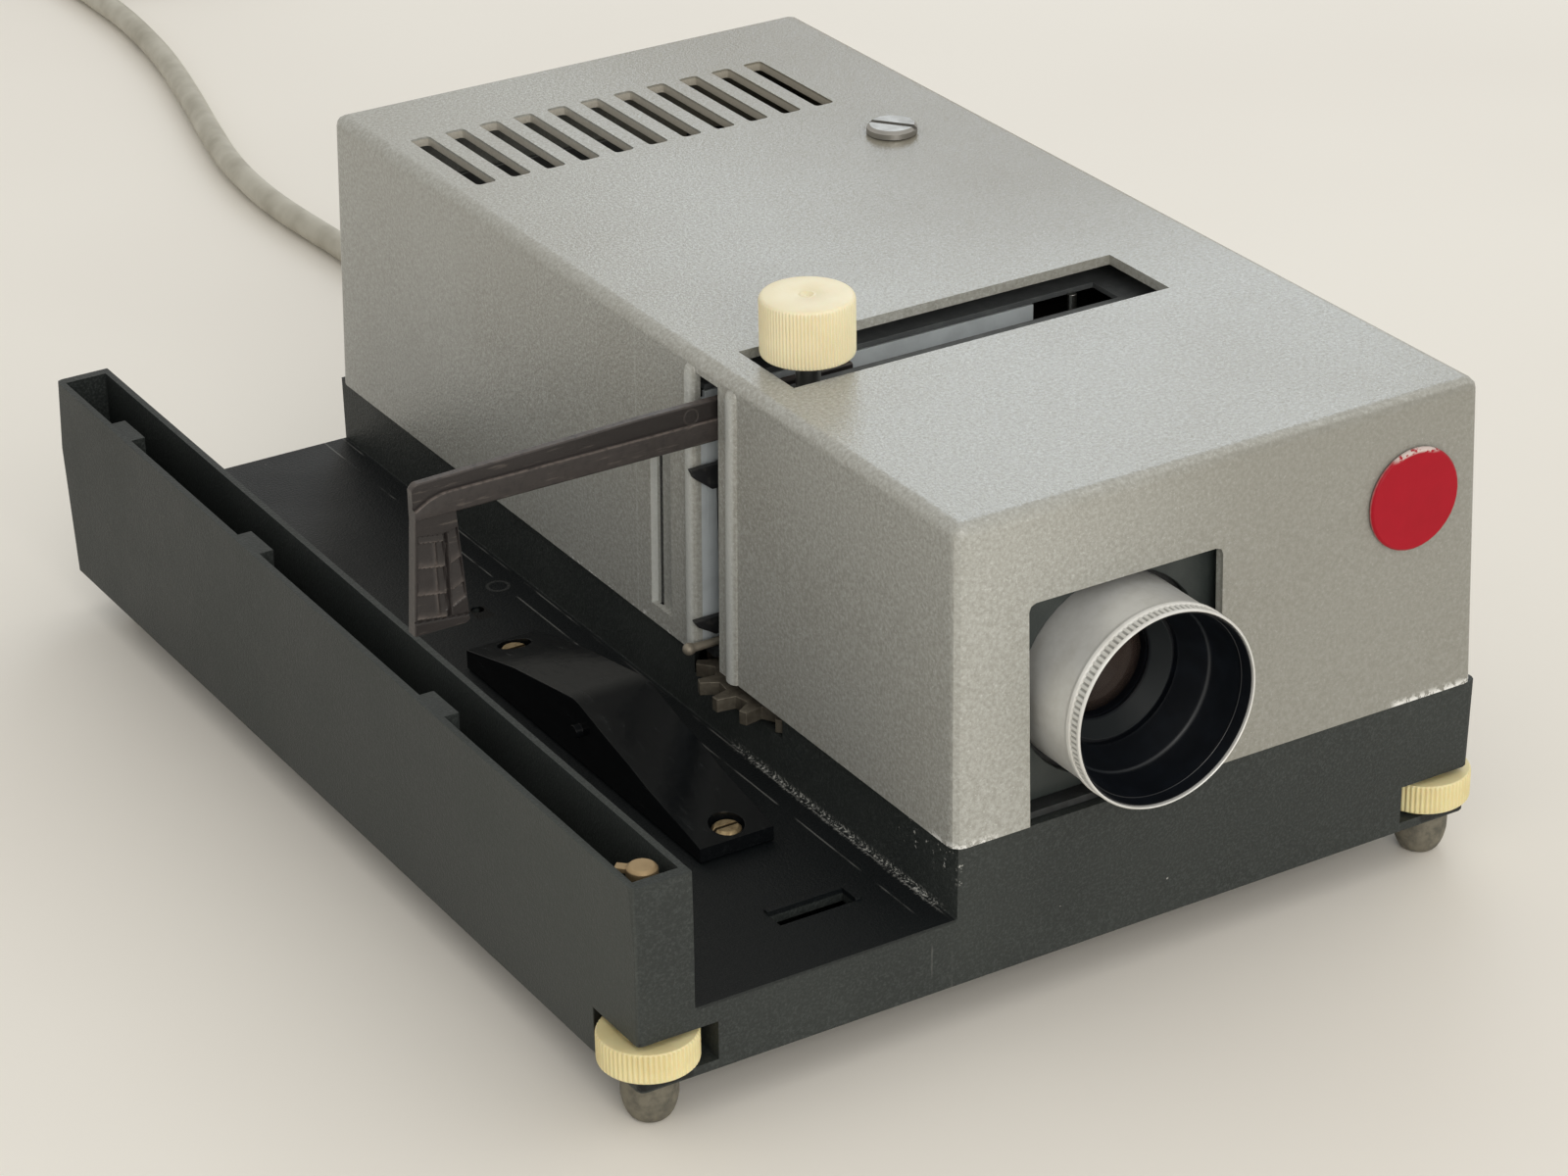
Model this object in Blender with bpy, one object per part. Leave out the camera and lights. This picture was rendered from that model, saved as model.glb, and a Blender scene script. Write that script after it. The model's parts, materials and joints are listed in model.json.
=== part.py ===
"""A slide projector with a side magazine channel, built as its separate pieces.

Metres, +Z up. X runs to the right as seen from the lens side, Y runs back, and the
lens looks along -Y. The origin is below the middle of the object, on the surface it
stands on. Every place is worked out from the sizes below.
"""
import math

import bmesh
import bpy
import numpy as np
from mathutils import Matrix, Vector

# Clearances and cuts
GAP = 0.0003
RUNNING_FIT = 0.00008
OVERRUN = 0.004
ROUND_STEPS = 24
FINE_STEPS = 36
HIDDEN_STEPS = 18

# Overall plan of base and shell
WALL_BOX_WIDTH = 0.0128
CHANNEL_WIDTH = 0.0575
SHELL_WIDTH = 0.1273
SHELL_DEPTH = 0.2631
SHELL_HEIGHT = 0.0680
BASE_SIDE_MARGIN = 0.0013
BASE_FRONT_SET = 0.0007
BASE_BACK_MARGIN = 0.0027
BASE_HEIGHT = 0.0308
FOOT_HEIGHT = 0.0100
TRAY_DEPTH = 0.0156
WALL_RISE = 0.0169
WALL_FALL = 0.0026
LENS_REACH = 0.0130
LENS_OFFSET = 0.0402
LENS_RISE = 0.0251
BASE_DRAFT_SHARE = 0.019

BASE_WIDTH = WALL_BOX_WIDTH + CHANNEL_WIDTH + SHELL_WIDTH + BASE_SIDE_MARGIN
BASE_RIGHT = BASE_WIDTH / 2
BASE_LEFT = -BASE_RIGHT
CHANNEL_LEFT = BASE_LEFT + WALL_BOX_WIDTH
SHELL_LEFT = CHANNEL_LEFT + CHANNEL_WIDTH
SHELL_RIGHT = SHELL_LEFT + SHELL_WIDTH
STEP_X = SHELL_LEFT + BASE_SIDE_MARGIN
SHELL_FRONT = (LENS_REACH - SHELL_DEPTH - BASE_BACK_MARGIN) / 2
SHELL_BACK = SHELL_FRONT + SHELL_DEPTH
BASE_FRONT = SHELL_FRONT + BASE_FRONT_SET
BASE_BACK = SHELL_BACK + BASE_BACK_MARGIN
RIM_Y = SHELL_FRONT - LENS_REACH
BASE_BOTTOM = FOOT_HEIGHT
SEAT_Z = BASE_BOTTOM + BASE_HEIGHT
TRAY_Z = SEAT_Z - TRAY_DEPTH
WALL_TOP = SEAT_Z + WALL_RISE
SHELL_TOP = SEAT_Z + SHELL_HEIGHT
OPTIC_X = SHELL_LEFT + LENS_OFFSET
OPTIC_Z = SEAT_Z + LENS_RISE

# Base casting
BASE_WALL = 0.0024
TRAY_FLOOR = 0.0024
BASE_CORNER = 0.0015
LEDGE_WIDTH = 0.0100
LEDGE_THICKNESS = 0.0030
HOLLOW_SKIN = 0.0015
HOLLOW_END = 0.0025
HOLLOW_FLOOR = 0.0014
TAB_LENGTH = 0.0108
TAB_THICKNESS = 0.0036
TAB_HEIGHT = 0.0080
TAB_DROP = 0.0005
TAB_PLACE_SHARES = (0.312, 0.629, 0.877)
SLOT_WIDTH = 0.0171
SLOT_DEPTH = 0.0048
SLOT_FROM_FRONT = 0.0169
SLOT_FROM_WALL = 0.0289
SLOT_RIM = 0.0014
SLOT_RIM_RISE = 0.0006
FLOOR_HOLE_RADIUS = 0.0015
FLOOR_HOLE_FROM_STEP = 0.0161
FLOOR_HOLE_FROM_FRONT = 0.1675
BOSS_RADIUS = 0.0038
BOSS_INSET = 0.0054
BOSS_FROM_FRONT = 0.1250

# Corner pockets, thumb wheels, spindles and pads of the front feet
POCKET_SIDE = 0.0178
POCKET_ROOF_DROP = 0.0203
POCKET_FLOOR = 0.0020
POCKET_WALL = 0.0018
FOOT_INSET_X = 0.0065
FOOT_INSET_Y = 0.0076
WHEEL_RADIUS = 0.0100
WHEEL_THICKNESS = 0.0067
WHEEL_LIFT = 0.0006
WHEEL_EDGE = 0.0007
WHEEL_RIBS = 24
RIB_DEPTH = 0.0004
HUB_RADIUS = 0.0046
SPINDLE_RADIUS = 0.0024
SPINDLE_TOP_RISE = 0.0140
SPINDLE_HEAD_RADIUS = 0.0031
SPINDLE_HEAD_THICKNESS = 0.0025
SPINDLE_LUG_REACH = 0.0052
SPINDLE_LUG_WIDTH = 0.0022
SPINDLE_LUG_ANGLE = math.radians(135)
PAD_RADIUS = 0.0057
PAD_TIP_RADIUS = 0.0038
PAD_SHOULDER_DROP = 0.0052
PAD_EDGE = 0.0007
PAD_BORE_FLOOR = 0.0034

# Bottom plate, rear feet and their screws
BOTTOM_PLATE_THICKNESS = 0.0012
BOTTOM_PLATE_RECESS = 0.0006
REAR_FOOT_INSET_X = 0.0125
REAR_FOOT_INSET_Y = 0.0150
REAR_FOOT_STEM_RADIUS = 0.0026
REAR_FOOT_CAP_RADIUS = 0.0036
REAR_FOOT_CAP_HEIGHT = 0.0024
SCREW_RADIUS = 0.0014
SCREW_HEAD_RADIUS = 0.0027
SCREW_HEAD_THICKNESS = 0.0012
BOTTOM_SCREW_LENGTH = 0.0070
CHASSIS_SCREW_LENGTH = 0.0036
CHASSIS_SCREW_INSET = 0.0420
AIR_SLOT_COUNT = 5
AIR_SLOT_WIDTH = 0.0032
AIR_SLOT_LENGTH = 0.0380
AIR_SLOT_PITCH = 0.0072

# Top shell
SHELL_WALL = 0.0022
SHELL_DRAFT_X = 0.00134
SHELL_DRAFT_Y = 0.00165
SHELL_EDGE = 0.0026
NOTCH_HALF_WIDTH = 0.0227
NOTCH_HEIGHT = 0.0480
NOTCH_CORNER = 0.0016
TOP_OPENING_FROM_LEFT = 0.0096
TOP_OPENING_FROM_RIGHT = 0.0261
TOP_OPENING_FROM_FRONT = 0.0724
TOP_OPENING_DEPTH = 0.0214
SIDE_OPENING_FROM_FRONT = 0.0880
SIDE_OPENING_DEPTH = 0.0086
SIDE_OPENING_DROP = 0.0037
SIDE_NOTCH_DEPTH = 0.0050
SIDE_NOTCH_HEIGHT = 0.0020
JAMB_THICKNESS = 0.0010
JAMB_DEPTH = 0.0027
BEAD_HALF_WIDTH = 0.0021
BEAD_RISE = 0.0011
BEAD_ROOT = 0.0006
BEAD_TOP_DROP = 0.0026
BEAD_SHARES = ((-1.0, -0.5), (-0.95, 0.25), (-0.7, 0.72), (-0.35, 0.94), (0.0, 1.0),
               (0.35, 0.94), (0.7, 0.72), (0.95, 0.25), (1.0, -0.5))
BEAD_SETBACK = 0.0033
GROOVE_SETBACK = 0.0108
GROOVE_WIDTH = 0.0086
GROOVE_DEPTH = 0.0016
GROOVE_LOW = 0.0045
GROOVE_DROP = 0.0220
VENT_COUNT = 11
VENT_PITCH = 0.0088
VENT_WIDTH = 0.0049
VENT_LENGTH = 0.0330
VENT_FROM_LEFT = 0.0108
VENT_FROM_FRONT = 0.2034
VENT_CORNER = 0.0009
BADGE_RADIUS = 0.0110
BADGE_THICKNESS = 0.0009
BADGE_FROM_RIGHT = 0.0180
BADGE_RISE = 0.0462

# Cover screw and the post that it turns into
COVER_SCREW_FROM_RIGHT = 0.0255
COVER_SCREW_FROM_FRONT = 0.1797
COVER_HEAD_RADIUS = 0.0058
COVER_HEAD_THICKNESS = 0.0019
COVER_HEAD_CHAMFER = 0.0007
COVER_SLOT_WIDTH = 0.0016
COVER_SLOT_DEPTH = 0.0009
COVER_SLOT_ANGLE = math.radians(-52)
COVER_SHANK_RADIUS = 0.0020
COVER_SHANK_LENGTH = 0.0120
POST_RADIUS = 0.0046

# Chassis plate inside the shell
CHASSIS_THICKNESS = 0.0015
CHASSIS_Z = SEAT_Z + GAP
CHASSIS_TOP = CHASSIS_Z + CHASSIS_THICKNESS
SLIDE_PATH_WIDTH = 0.0042
SLIDE_FROM_FRONT = 0.0917
SLIDE_Y = SHELL_FRONT + SLIDE_FROM_FRONT
SLIDE_SLOT_RIGHT = 0.0690

# Lens holder, barrel, hood, cell and glass
PANEL_SETBACK = 0.0059
PANEL_THICKNESS = 0.0025
PANEL_HALF_WIDTH = 0.0320
PANEL_RISE = 0.0290
PANEL_HOLE_RADIUS = 0.0216
SLEEVE_LENGTH = 0.0400
SLEEVE_WALL = 0.0020
SLEEVE_SEAT = 0.0012
BARREL_RADIUS = 0.0205
BARREL_LENGTH = 0.0560
RIM_RADIUS = 0.0209
RIM_WIDTH = 0.0011
RIM_BORE = 0.0198
KNURL_RIBS = 24
KNURL_DEPTH = 0.0003
KNURL_RADIUS = 0.0208
KNURL_WIDTH = 0.0031
LIP_RADIUS = 0.0211
LIP_WIDTH = 0.0011
BORE_STEP_AT = 0.0135
REAR_BORE = 0.0188
HOOD_FRONT_AT = 0.0012
HOOD_FRONT_RADIUS = 0.0191
HOOD_MID_AT = 0.0112
HOOD_MID_RADIUS = 0.0178
HOOD_STEP_RADIUS = 0.0150
HOOD_NECK_AT = 0.0176
HOOD_THROAT_RADIUS = 0.0112
HOOD_LENGTH = 0.0212
GLASS_SEAT = 0.0003
FRONT_GLASS_RADIUS = 0.0108
FRONT_GLASS_THICKNESS = 0.0056
FRONT_GLASS_BULGE = 0.0014
REAR_GLASS_RADIUS = 0.0141
REAR_GLASS_AT = 0.0440
REAR_GLASS_THICKNESS = 0.0066
REAR_GLASS_BULGE = 0.0020
CELL_BORE = 0.0092
CELL_LENGTH = 0.0340
LENS_STEPS = 40

# Slide gate, changer guide and slide guides
GATE_FRONT_FACE = 0.0866
GATE_REAR_FACE = 0.0970
GATE_THICKNESS = 0.0010
GATE_LEFT = 0.0034
GATE_RIGHT = 0.0840
GATE_APERTURE = 0.0360
GUIDE_DROP = 0.0082
GUIDE_THICKNESS = 0.0012
GUIDE_FROM_RIGHT = 0.0113
GUIDE_FRONT = 0.0745
GUIDE_BACK = 0.1080
GUIDE_SLOT_FROM_RIGHT = 0.0281
SHELF_THICKNESS = 0.0012
SHELF_LEFT = 0.0100
LUG_REACH = 0.0016
LUG_LENGTH = 0.0090
LUG_THICKNESS = 0.0017
LUG_FOOT = 0.0020
LUG_SHARES = ((0, 1), (1, 1), (1, 0), (0.55, 0), (0.10, 0.62))
UPPER_LUG_DROP = 0.0242
UPPER_LUG_HEIGHT = 0.0053
LOWER_LUG_RISE = 0.0052
LOWER_LUG_HEIGHT = 0.0040
PIN_RADIUS = 0.0010
PIN_FROM_RIGHT = 0.0343

# Changer arm and its grip
ARM_FRONT = 0.0892
ARM_THICKNESS = 0.0019
ARM_REACH = 0.0661
ARM_TAIL = 0.0340
ARM_LOW_DROP = 0.0155
ARM_RAIL = 0.0049
ARM_RAIL_PROUD = 0.0010
ARM_LEFT_DROP = 0.0083
ARM_RIGHT_DROP = 0.0067
GRIP_TOP_LEFT = 0.0674
GRIP_TOP_RIGHT = 0.0582
GRIP_LOW_LEFT = 0.0690
GRIP_LOW_RIGHT = 0.0563
GRIP_BOTTOM = 0.0278
GRIP_RIBS = 5
GRIP_RIB_WIDTH = 0.0011
GRIP_POCKET_DEPTH = 0.0009
GRIP_FRAME = 0.0013

# Magazine index: knob, shaft, star wheel and bush
KNOB_FROM_LEFT = 0.0194
KNOB_FROM_FRONT = 0.0829
KNOB_RADIUS = 0.0098
KNOB_LIFT = 0.0015
KNOB_HEIGHT = 0.0127
KNOB_EDGE = 0.0011
KNOB_EDGE_SHARE = 0.3
KNOB_RIBS = 30
KNOB_DIMPLE_RADIUS = 0.0020
KNOB_DIMPLE_DEPTH = 0.0005
KNOB_BORE_DEPTH = 0.0080
SHAFT_RADIUS = 0.0026
STAR_RADIUS = 0.0243
STAR_ROOT_RADIUS = 0.0203
STAR_TEETH = 18
STAR_THICKNESS = 0.0030
STAR_DROP = 0.0018
STAR_CLEARANCE = 0.0010
STAR_HUB_RADIUS = 0.0062
STAR_HUB_LENGTH = 0.0050
STAR_TOOTH_SHARES = ((0.0, 0.0), (0.22, 0.0), (0.36, 1.0), (0.86, 1.0))
BUSH_WALL = 0.0009
BUSH_FLANGE_RADIUS = 0.0060
BUSH_FLANGE_THICKNESS = 0.0010
BUSH_RISE = 0.0012

# Magazine catch beside the star wheel
CATCH_RADIUS = 0.0009
CATCH_NOSE_RADIUS = 0.0014
CATCH_REACH = 0.0046
CATCH_TAIL = 0.0150
CATCH_RISE = 0.0034
CATCH_FROM_FRONT = 0.0949
CATCH_BLOCK_LEFT = 0.0086
CATCH_BLOCK_LENGTH = 0.0040
CATCH_BLOCK_HALF = 0.0019

# Magazine ramp in the tray
RAMP_WIDTH = 0.0171
RAMP_FROM_STEP = 0.0140
RAMP_FROM_FRONT = 0.0453
RAMP_LENGTH = 0.0986
RAMP_HEIGHT = 0.0141
RAMP_WALL = 0.0014
RAMP_SHARES = ((0.0, 0.225), (0.209, 0.505), (0.283, 0.645), (0.376, 0.785), (0.452, 0.915),
               (0.490, 0.985), (0.516, 1.0), (0.549, 0.965), (0.620, 0.88), (0.784, 0.68),
               (1.0, 0.305))
RAMP_HOLLOW_SHARES = (1, 10)
RAMP_SEAT_RISES = (0.0021, 0.0032)
RAMP_SEAT_RADIUS = 0.0037
RAMP_SCREW_FRONT = 0.0047
RAMP_SCREW_BACK = 0.0053
RAMP_SCREW_FROM_RIGHT = 0.0082
BRASS_HEAD_RADIUS = 0.0031
BRASS_HEAD_THICKNESS = 0.0012
BRASS_SHANK_RADIUS = 0.0015
BRASS_SHANK_LENGTH = 0.0055
BRASS_SLOT_WIDTH = 0.0008
BRASS_SLOT_DEPTH = 0.0006
STUD_RADIUS = 0.0015
STUD_REACH = 0.0016
STUD_AT = 0.0484
STUD_RISE = 0.0078

# Condenser, lamp house, lamp, mirror and transformer
CONDENSER_SETBACK = 0.0012
CONDENSER_WALL = 0.0020
CONDENSER_LENGTH = 0.0500
CONDENSER_GLASS_RADIUS = 0.0203
CONDENSER_GLASS_THICKNESS = 0.0084
CONDENSER_GLASS_BULGE = 0.0034
CONDENSER_GLASS_PLACES = (0.0010, 0.0390)
FILTER_AT = 0.0220
FILTER_THICKNESS = 0.0025
HOUSE_SETBACK = 0.0030
HOUSE_LENGTH = 0.0880
HOUSE_HALF_WIDTH = 0.0270
HOUSE_DROP = 0.0120
HOUSE_WINDOW_RADIUS = 0.0180
SHEET = 0.0012
LAMP_AT = 0.0380
LAMP_RADIUS = 0.0060
LAMP_HEIGHT = 0.0280
LAMP_SHARES = ((1.0, 0.333), (0.7, 0.46), (0.0, 0.5))
LAMP_PIN_RADIUS = 0.0007
LAMP_PIN_SPACING = 0.0064
LAMP_PIN_LENGTH = 0.0050
SOCKET_WIDTH = 0.0180
SOCKET_DEPTH = 0.0120
MIRROR_RADIUS = 0.0180
MIRROR_SAG = 0.0060
MIRROR_WALL = 0.0014
MIRROR_AT = 0.0200
MIRROR_STEM_RADIUS = 0.0030
MIRROR_STEM_SET = 0.0024
MIRROR_SHARES = (0.0, 0.35, 0.7, 1.0)
CORE_FROM_CONDENSER = 0.0163
CORE_DEPTH = 0.0340
CORE_HEIGHT = 0.0440
CORE_LIMB_SHARE = 0.29
CORE_SIDE_SHARE = 0.158
CORE_YOKE = 0.0090
CORE_FROM_RIGHT = 0.0080
CORE_FROM_FRONT = 0.1150
COIL_OVERHANG = 0.0070
BLOCK_LENGTH = 0.0240
BLOCK_DEPTH = 0.0110
BLOCK_HEIGHT = 0.0110
BLOCK_FROM_BACK = 0.0420
BLOCK_SCREWS = 3
BLOCK_SCREW_PITCH = 0.0070
WIRE_RADIUS = 0.0011
WIRE_SPACING = 0.0045
LEAD_ENTRY_SHARE = 0.25
LEAD_SHARES = (0.34, 0.68)

# Power switch in the shell's back
SWITCH_FROM_RIGHT = 0.0263
SWITCH_RISE = 0.0340
SWITCH_WIDTH = 0.0130
SWITCH_HEIGHT = 0.0190
SWITCH_DEPTH = 0.0120
SWITCH_FLANGE = 0.0016
SWITCH_FLANGE_THICKNESS = 0.0010
SWITCH_WALL = 0.0012
ROCKER_DEPTH = 0.0052
ROCKER_PROUD = 0.0006
ROCKER_BEND = 0.0008
ROCKER_PIN_RADIUS = 0.0008
ROCKER_PIN_IN = 0.0030
ROCKER_END_GAP = 0.0012
ROCKER_BASE_SHARE = 0.6

# Mains cord, strain relief, coil and plug
CORD_RADIUS = 0.0035
GLAND_FROM_LEFT = 0.0770
GLAND_DROP = 0.0150
GLAND_NECK_RADIUS = 0.0058
GLAND_FLANGE_RADIUS = 0.0082
GLAND_FLANGE_THICKNESS = 0.0020
GLAND_TAIL_LENGTH = 0.0300
GLAND_TIP_RADIUS = 0.0046
GLAND_INNER_LENGTH = 0.0070
CORD_SPACING = 0.0118
CORD_ROUTE = (
    (0.04785, 0.1790, 0.02560), (0.04790, 0.1900, 0.02300), (0.04800, 0.2060, 0.01500),
    (0.04800, 0.2220, 0.00740), (0.04790, 0.2370, 0.00385), (0.04770, 0.2560, 0.00385),
    (0.04720, 0.2790, 0.00385), (0.04630, 0.3010, 0.00385), (0.04520, 0.3200, 0.00385),
    (0.04520, 0.3420, 0.00385), (0.04800, 0.3690, 0.00385), (0.05400, 0.3970, 0.00385),
    (0.06200, 0.4300, 0.00385), (0.06900, 0.4640, 0.00385), (0.07300, 0.4970, 0.00385),
    (0.07380, 0.5200, 0.00385), (0.07380, 0.5480, 0.00385), (0.07380, 0.5770, 0.00385),
)
COIL_TURNS = 6
COIL_OUTER_RADIUS = 0.0505
COIL_PITCH = 0.00760
COIL_LAYER_RISE = 0.00760
COIL_POINTS_PER_TURN = 24
COIL_LEAD = 0.0060
COIL_EXIT_LEAD = 0.0310
PLUG_LENGTH = 0.0380
PLUG_HALF_HEIGHT = 0.0106
PLUG_HALF_WIDTH = 0.0168
PLUG_SHARES = ((0.0, 0.50), (0.08, 0.52), (0.30, 0.70), (0.48, 0.95), (0.58, 1.0),
               (0.94, 1.0), (1.0, 0.94))
PLUG_PIN_RADIUS = 0.0024
PLUG_PIN_LENGTH = 0.0190
PLUG_PIN_SPACING = 0.0190

# Places that several pieces share
CHASSIS_LEFT = SHELL_LEFT + SHELL_WALL + GAP
CHASSIS_RIGHT = SHELL_RIGHT - SHELL_WALL - GAP
CHASSIS_FRONT = SHELL_FRONT + SHELL_WALL + GAP
CHASSIS_BACK = SHELL_BACK - SHELL_WALL - GAP
KNOB_X = SHELL_LEFT + KNOB_FROM_LEFT
KNOB_Y = SHELL_FRONT + KNOB_FROM_FRONT
COVER_X = SHELL_RIGHT - COVER_SCREW_FROM_RIGHT
COVER_Y = SHELL_FRONT + COVER_SCREW_FROM_FRONT
FOOT_PLACES = ((BASE_LEFT + FOOT_INSET_X, BASE_FRONT + FOOT_INSET_Y),
               (BASE_RIGHT - FOOT_INSET_X, BASE_FRONT + FOOT_INSET_Y))
POCKET_TOP = SEAT_Z - POCKET_ROOF_DROP
POCKET_BOTTOM = BASE_BOTTOM + POCKET_FLOOR
HOLLOW_BOTTOM = TRAY_Z - TRAY_FLOOR
PLATE_Z = BASE_BOTTOM + BOTTOM_PLATE_RECESS
PLATE_TOP = PLATE_Z + BOTTOM_PLATE_THICKNESS
LEDGE_Z = SEAT_Z - LEDGE_THICKNESS
BOSS_PLACES = tuple(
    (x, BASE_FRONT + BOSS_FROM_FRONT)
    for x in (BASE_LEFT + BOSS_INSET, BASE_RIGHT - BOSS_INSET)
)
REAR_FOOT_PLACES = tuple(
    (x, BASE_BACK - REAR_FOOT_INSET_Y)
    for x in (BASE_LEFT + REAR_FOOT_INSET_X, BASE_RIGHT - REAR_FOOT_INSET_X)
)
LEDGE_MIDDLE = (LEDGE_WIDTH + BASE_SIDE_MARGIN + SHELL_WALL) / 2
CHASSIS_SCREW_PLACES = (
    (STEP_X + LEDGE_MIDDLE, BASE_BACK - CHASSIS_SCREW_INSET),
    (BASE_RIGHT - LEDGE_MIDDLE, BASE_FRONT + CHASSIS_SCREW_INSET),
)
GATE_FRONT_Y = SHELL_FRONT + GATE_FRONT_FACE
GATE_REAR_Y = SHELL_FRONT + GATE_REAR_FACE
GATE_TOP = SHELL_TOP - GUIDE_DROP
RAMP_RIGHT = STEP_X - RAMP_FROM_STEP
RAMP_LEFT = RAMP_RIGHT - RAMP_WIDTH
RAMP_FRONT = BASE_FRONT + RAMP_FROM_FRONT
RAMP_Z = TRAY_Z + GAP
RAMP_SCREW_PLACES = (
    (RAMP_RIGHT - RAMP_SCREW_FROM_RIGHT, RAMP_FRONT + RAMP_SCREW_FRONT),
    (RAMP_RIGHT - RAMP_SCREW_FROM_RIGHT, RAMP_FRONT + RAMP_LENGTH - RAMP_SCREW_BACK),
)
CONDENSER_Y = GATE_REAR_Y + GATE_THICKNESS + CONDENSER_SETBACK
HOUSE_Y = CONDENSER_Y + CONDENSER_LENGTH + HOUSE_SETBACK
LAMP_Y = HOUSE_Y + LAMP_AT
SWITCH_X = SHELL_RIGHT - SWITCH_FROM_RIGHT
SWITCH_Z = SEAT_Z + SWITCH_RISE
SWITCH_Y = SHELL_BACK - SHELL_DRAFT_Y * SWITCH_RISE / SHELL_HEIGHT
GLAND_X = SHELL_LEFT + GLAND_FROM_LEFT
GLAND_Z = SEAT_Z - GLAND_DROP
GLAND_Y = BASE_BACK - BASE_DRAFT_SHARE * GLAND_DROP
HOOD_Y = RIM_Y + HOOD_FRONT_AT
CELL_Y = HOOD_Y + HOOD_LENGTH + GAP

FINISHES = {
    "shell_paint": ((0.42, 0.41, 0.37), 0.42, 0.25),
    "base_paint": ((0.030, 0.035, 0.032), 0.45, 0.0),
    "cream_plastic": ((0.82, 0.76, 0.52), 0.40, 0.0),
    "brown_plastic": ((0.085, 0.068, 0.060), 0.38, 0.0),
    "black_plastic": ((0.012, 0.013, 0.014), 0.15, 0.0),
    "black_paint": ((0.020, 0.020, 0.022), 0.55, 0.0),
    "bright_metal": ((0.72, 0.71, 0.68), 0.28, 1.0),
    "plain_steel": ((0.45, 0.46, 0.47), 0.35, 1.0),
    "zinc": ((0.30, 0.28, 0.22), 0.42, 0.9),
    "brass": ((0.62, 0.42, 0.20), 0.30, 1.0),
    "rubber": ((0.16, 0.14, 0.11), 0.75, 0.0),
    "badge_red": ((0.55, 0.012, 0.025), 0.30, 0.0),
    "glass": ((0.60, 0.55, 0.50), 0.04, 0.0),
    "cord_grey": ((0.50, 0.47, 0.40), 0.45, 0.0),
    "copper": ((0.62, 0.30, 0.14), 0.35, 0.8),
    "sheet_metal": ((0.50, 0.51, 0.52), 0.40, 0.9),
}


def clear_scene():
    """Removes whatever the file opened with."""
    for piece in list(bpy.data.objects):
        bpy.data.objects.remove(piece, do_unlink=True)


def own_material(name, kind):
    """A piece's own Principled material, of one of the kinds of finish."""
    colour, roughness, metallic = FINISHES[kind]
    material = bpy.data.materials.new(name + "_finish")
    material.use_nodes = True
    shader = material.node_tree.nodes["Principled BSDF"]
    shader.inputs["Base Color"].default_value = (*colour, 1.0)
    shader.inputs["Roughness"].default_value = roughness
    shader.inputs["Metallic"].default_value = metallic
    material.diffuse_color = (*colour, 1.0)
    return material


def make(name, bm, kind=None, smooth=False):
    """An object from closed bodies. One without a kind of finish only cuts or adds."""
    bmesh.ops.recalc_face_normals(bm, faces=bm.faces)
    mesh = bpy.data.meshes.new(name)
    bm.to_mesh(mesh)
    bm.free()
    piece = bpy.data.objects.new(name, mesh)
    bpy.context.collection.objects.link(piece)
    if kind is None:
        piece.hide_render = True
        piece.display_type = "WIRE"
    else:
        mesh.materials.append(own_material(name, kind))
    if smooth:
        mesh.shade_smooth()
        mesh.set_sharp_from_angle(angle=math.radians(35))
    return piece


def combine(piece, bm, operation, label):
    """Cuts the bodies of a bmesh out of a piece, or joins them to it."""
    tool = make(piece.name + "_" + label, bm)
    step = piece.modifiers.new(label, "BOOLEAN")
    step.operation = operation
    step.solver = "EXACT"
    step.object = tool


def cut(piece, bm, label):
    """Takes the bodies of a bmesh away from a piece."""
    combine(piece, bm, "DIFFERENCE", label)


def join(piece, bm, label):
    """Makes the bodies of a bmesh one solid with a piece."""
    combine(piece, bm, "UNION", label)


def box(low, high, bm=None):
    """A block between two corners."""
    bm = bm or bmesh.new()
    size = Vector(high) - Vector(low)
    middle = (Vector(high) + Vector(low)) / 2
    place = Matrix.Translation(middle) @ Matrix.Diagonal((*size, 1.0))
    bmesh.ops.create_cube(bm, size=1.0, matrix=place)
    return bm


def prism(outline, start, end, axis="Z", bm=None):
    """A straight prism. The outline's two coordinates lie across the axis, in X, Y, Z order."""
    bm = bm or bmesh.new()
    order = {"X": (2, 0, 1), "Y": (0, 2, 1), "Z": (0, 1, 2)}[axis]
    rings = []
    for height in (start, end):
        ring = []
        for point in outline:
            local = (*point, height)
            ring.append(bm.verts.new(tuple(local[i] for i in order)))
        rings.append(ring)
    bm.faces.new(rings[0])
    bm.faces.new(rings[1])
    for i in range(len(outline)):
        j = (i + 1) % len(outline)
        bm.faces.new((rings[0][i], rings[0][j], rings[1][j], rings[1][i]))
    return bm


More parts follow.
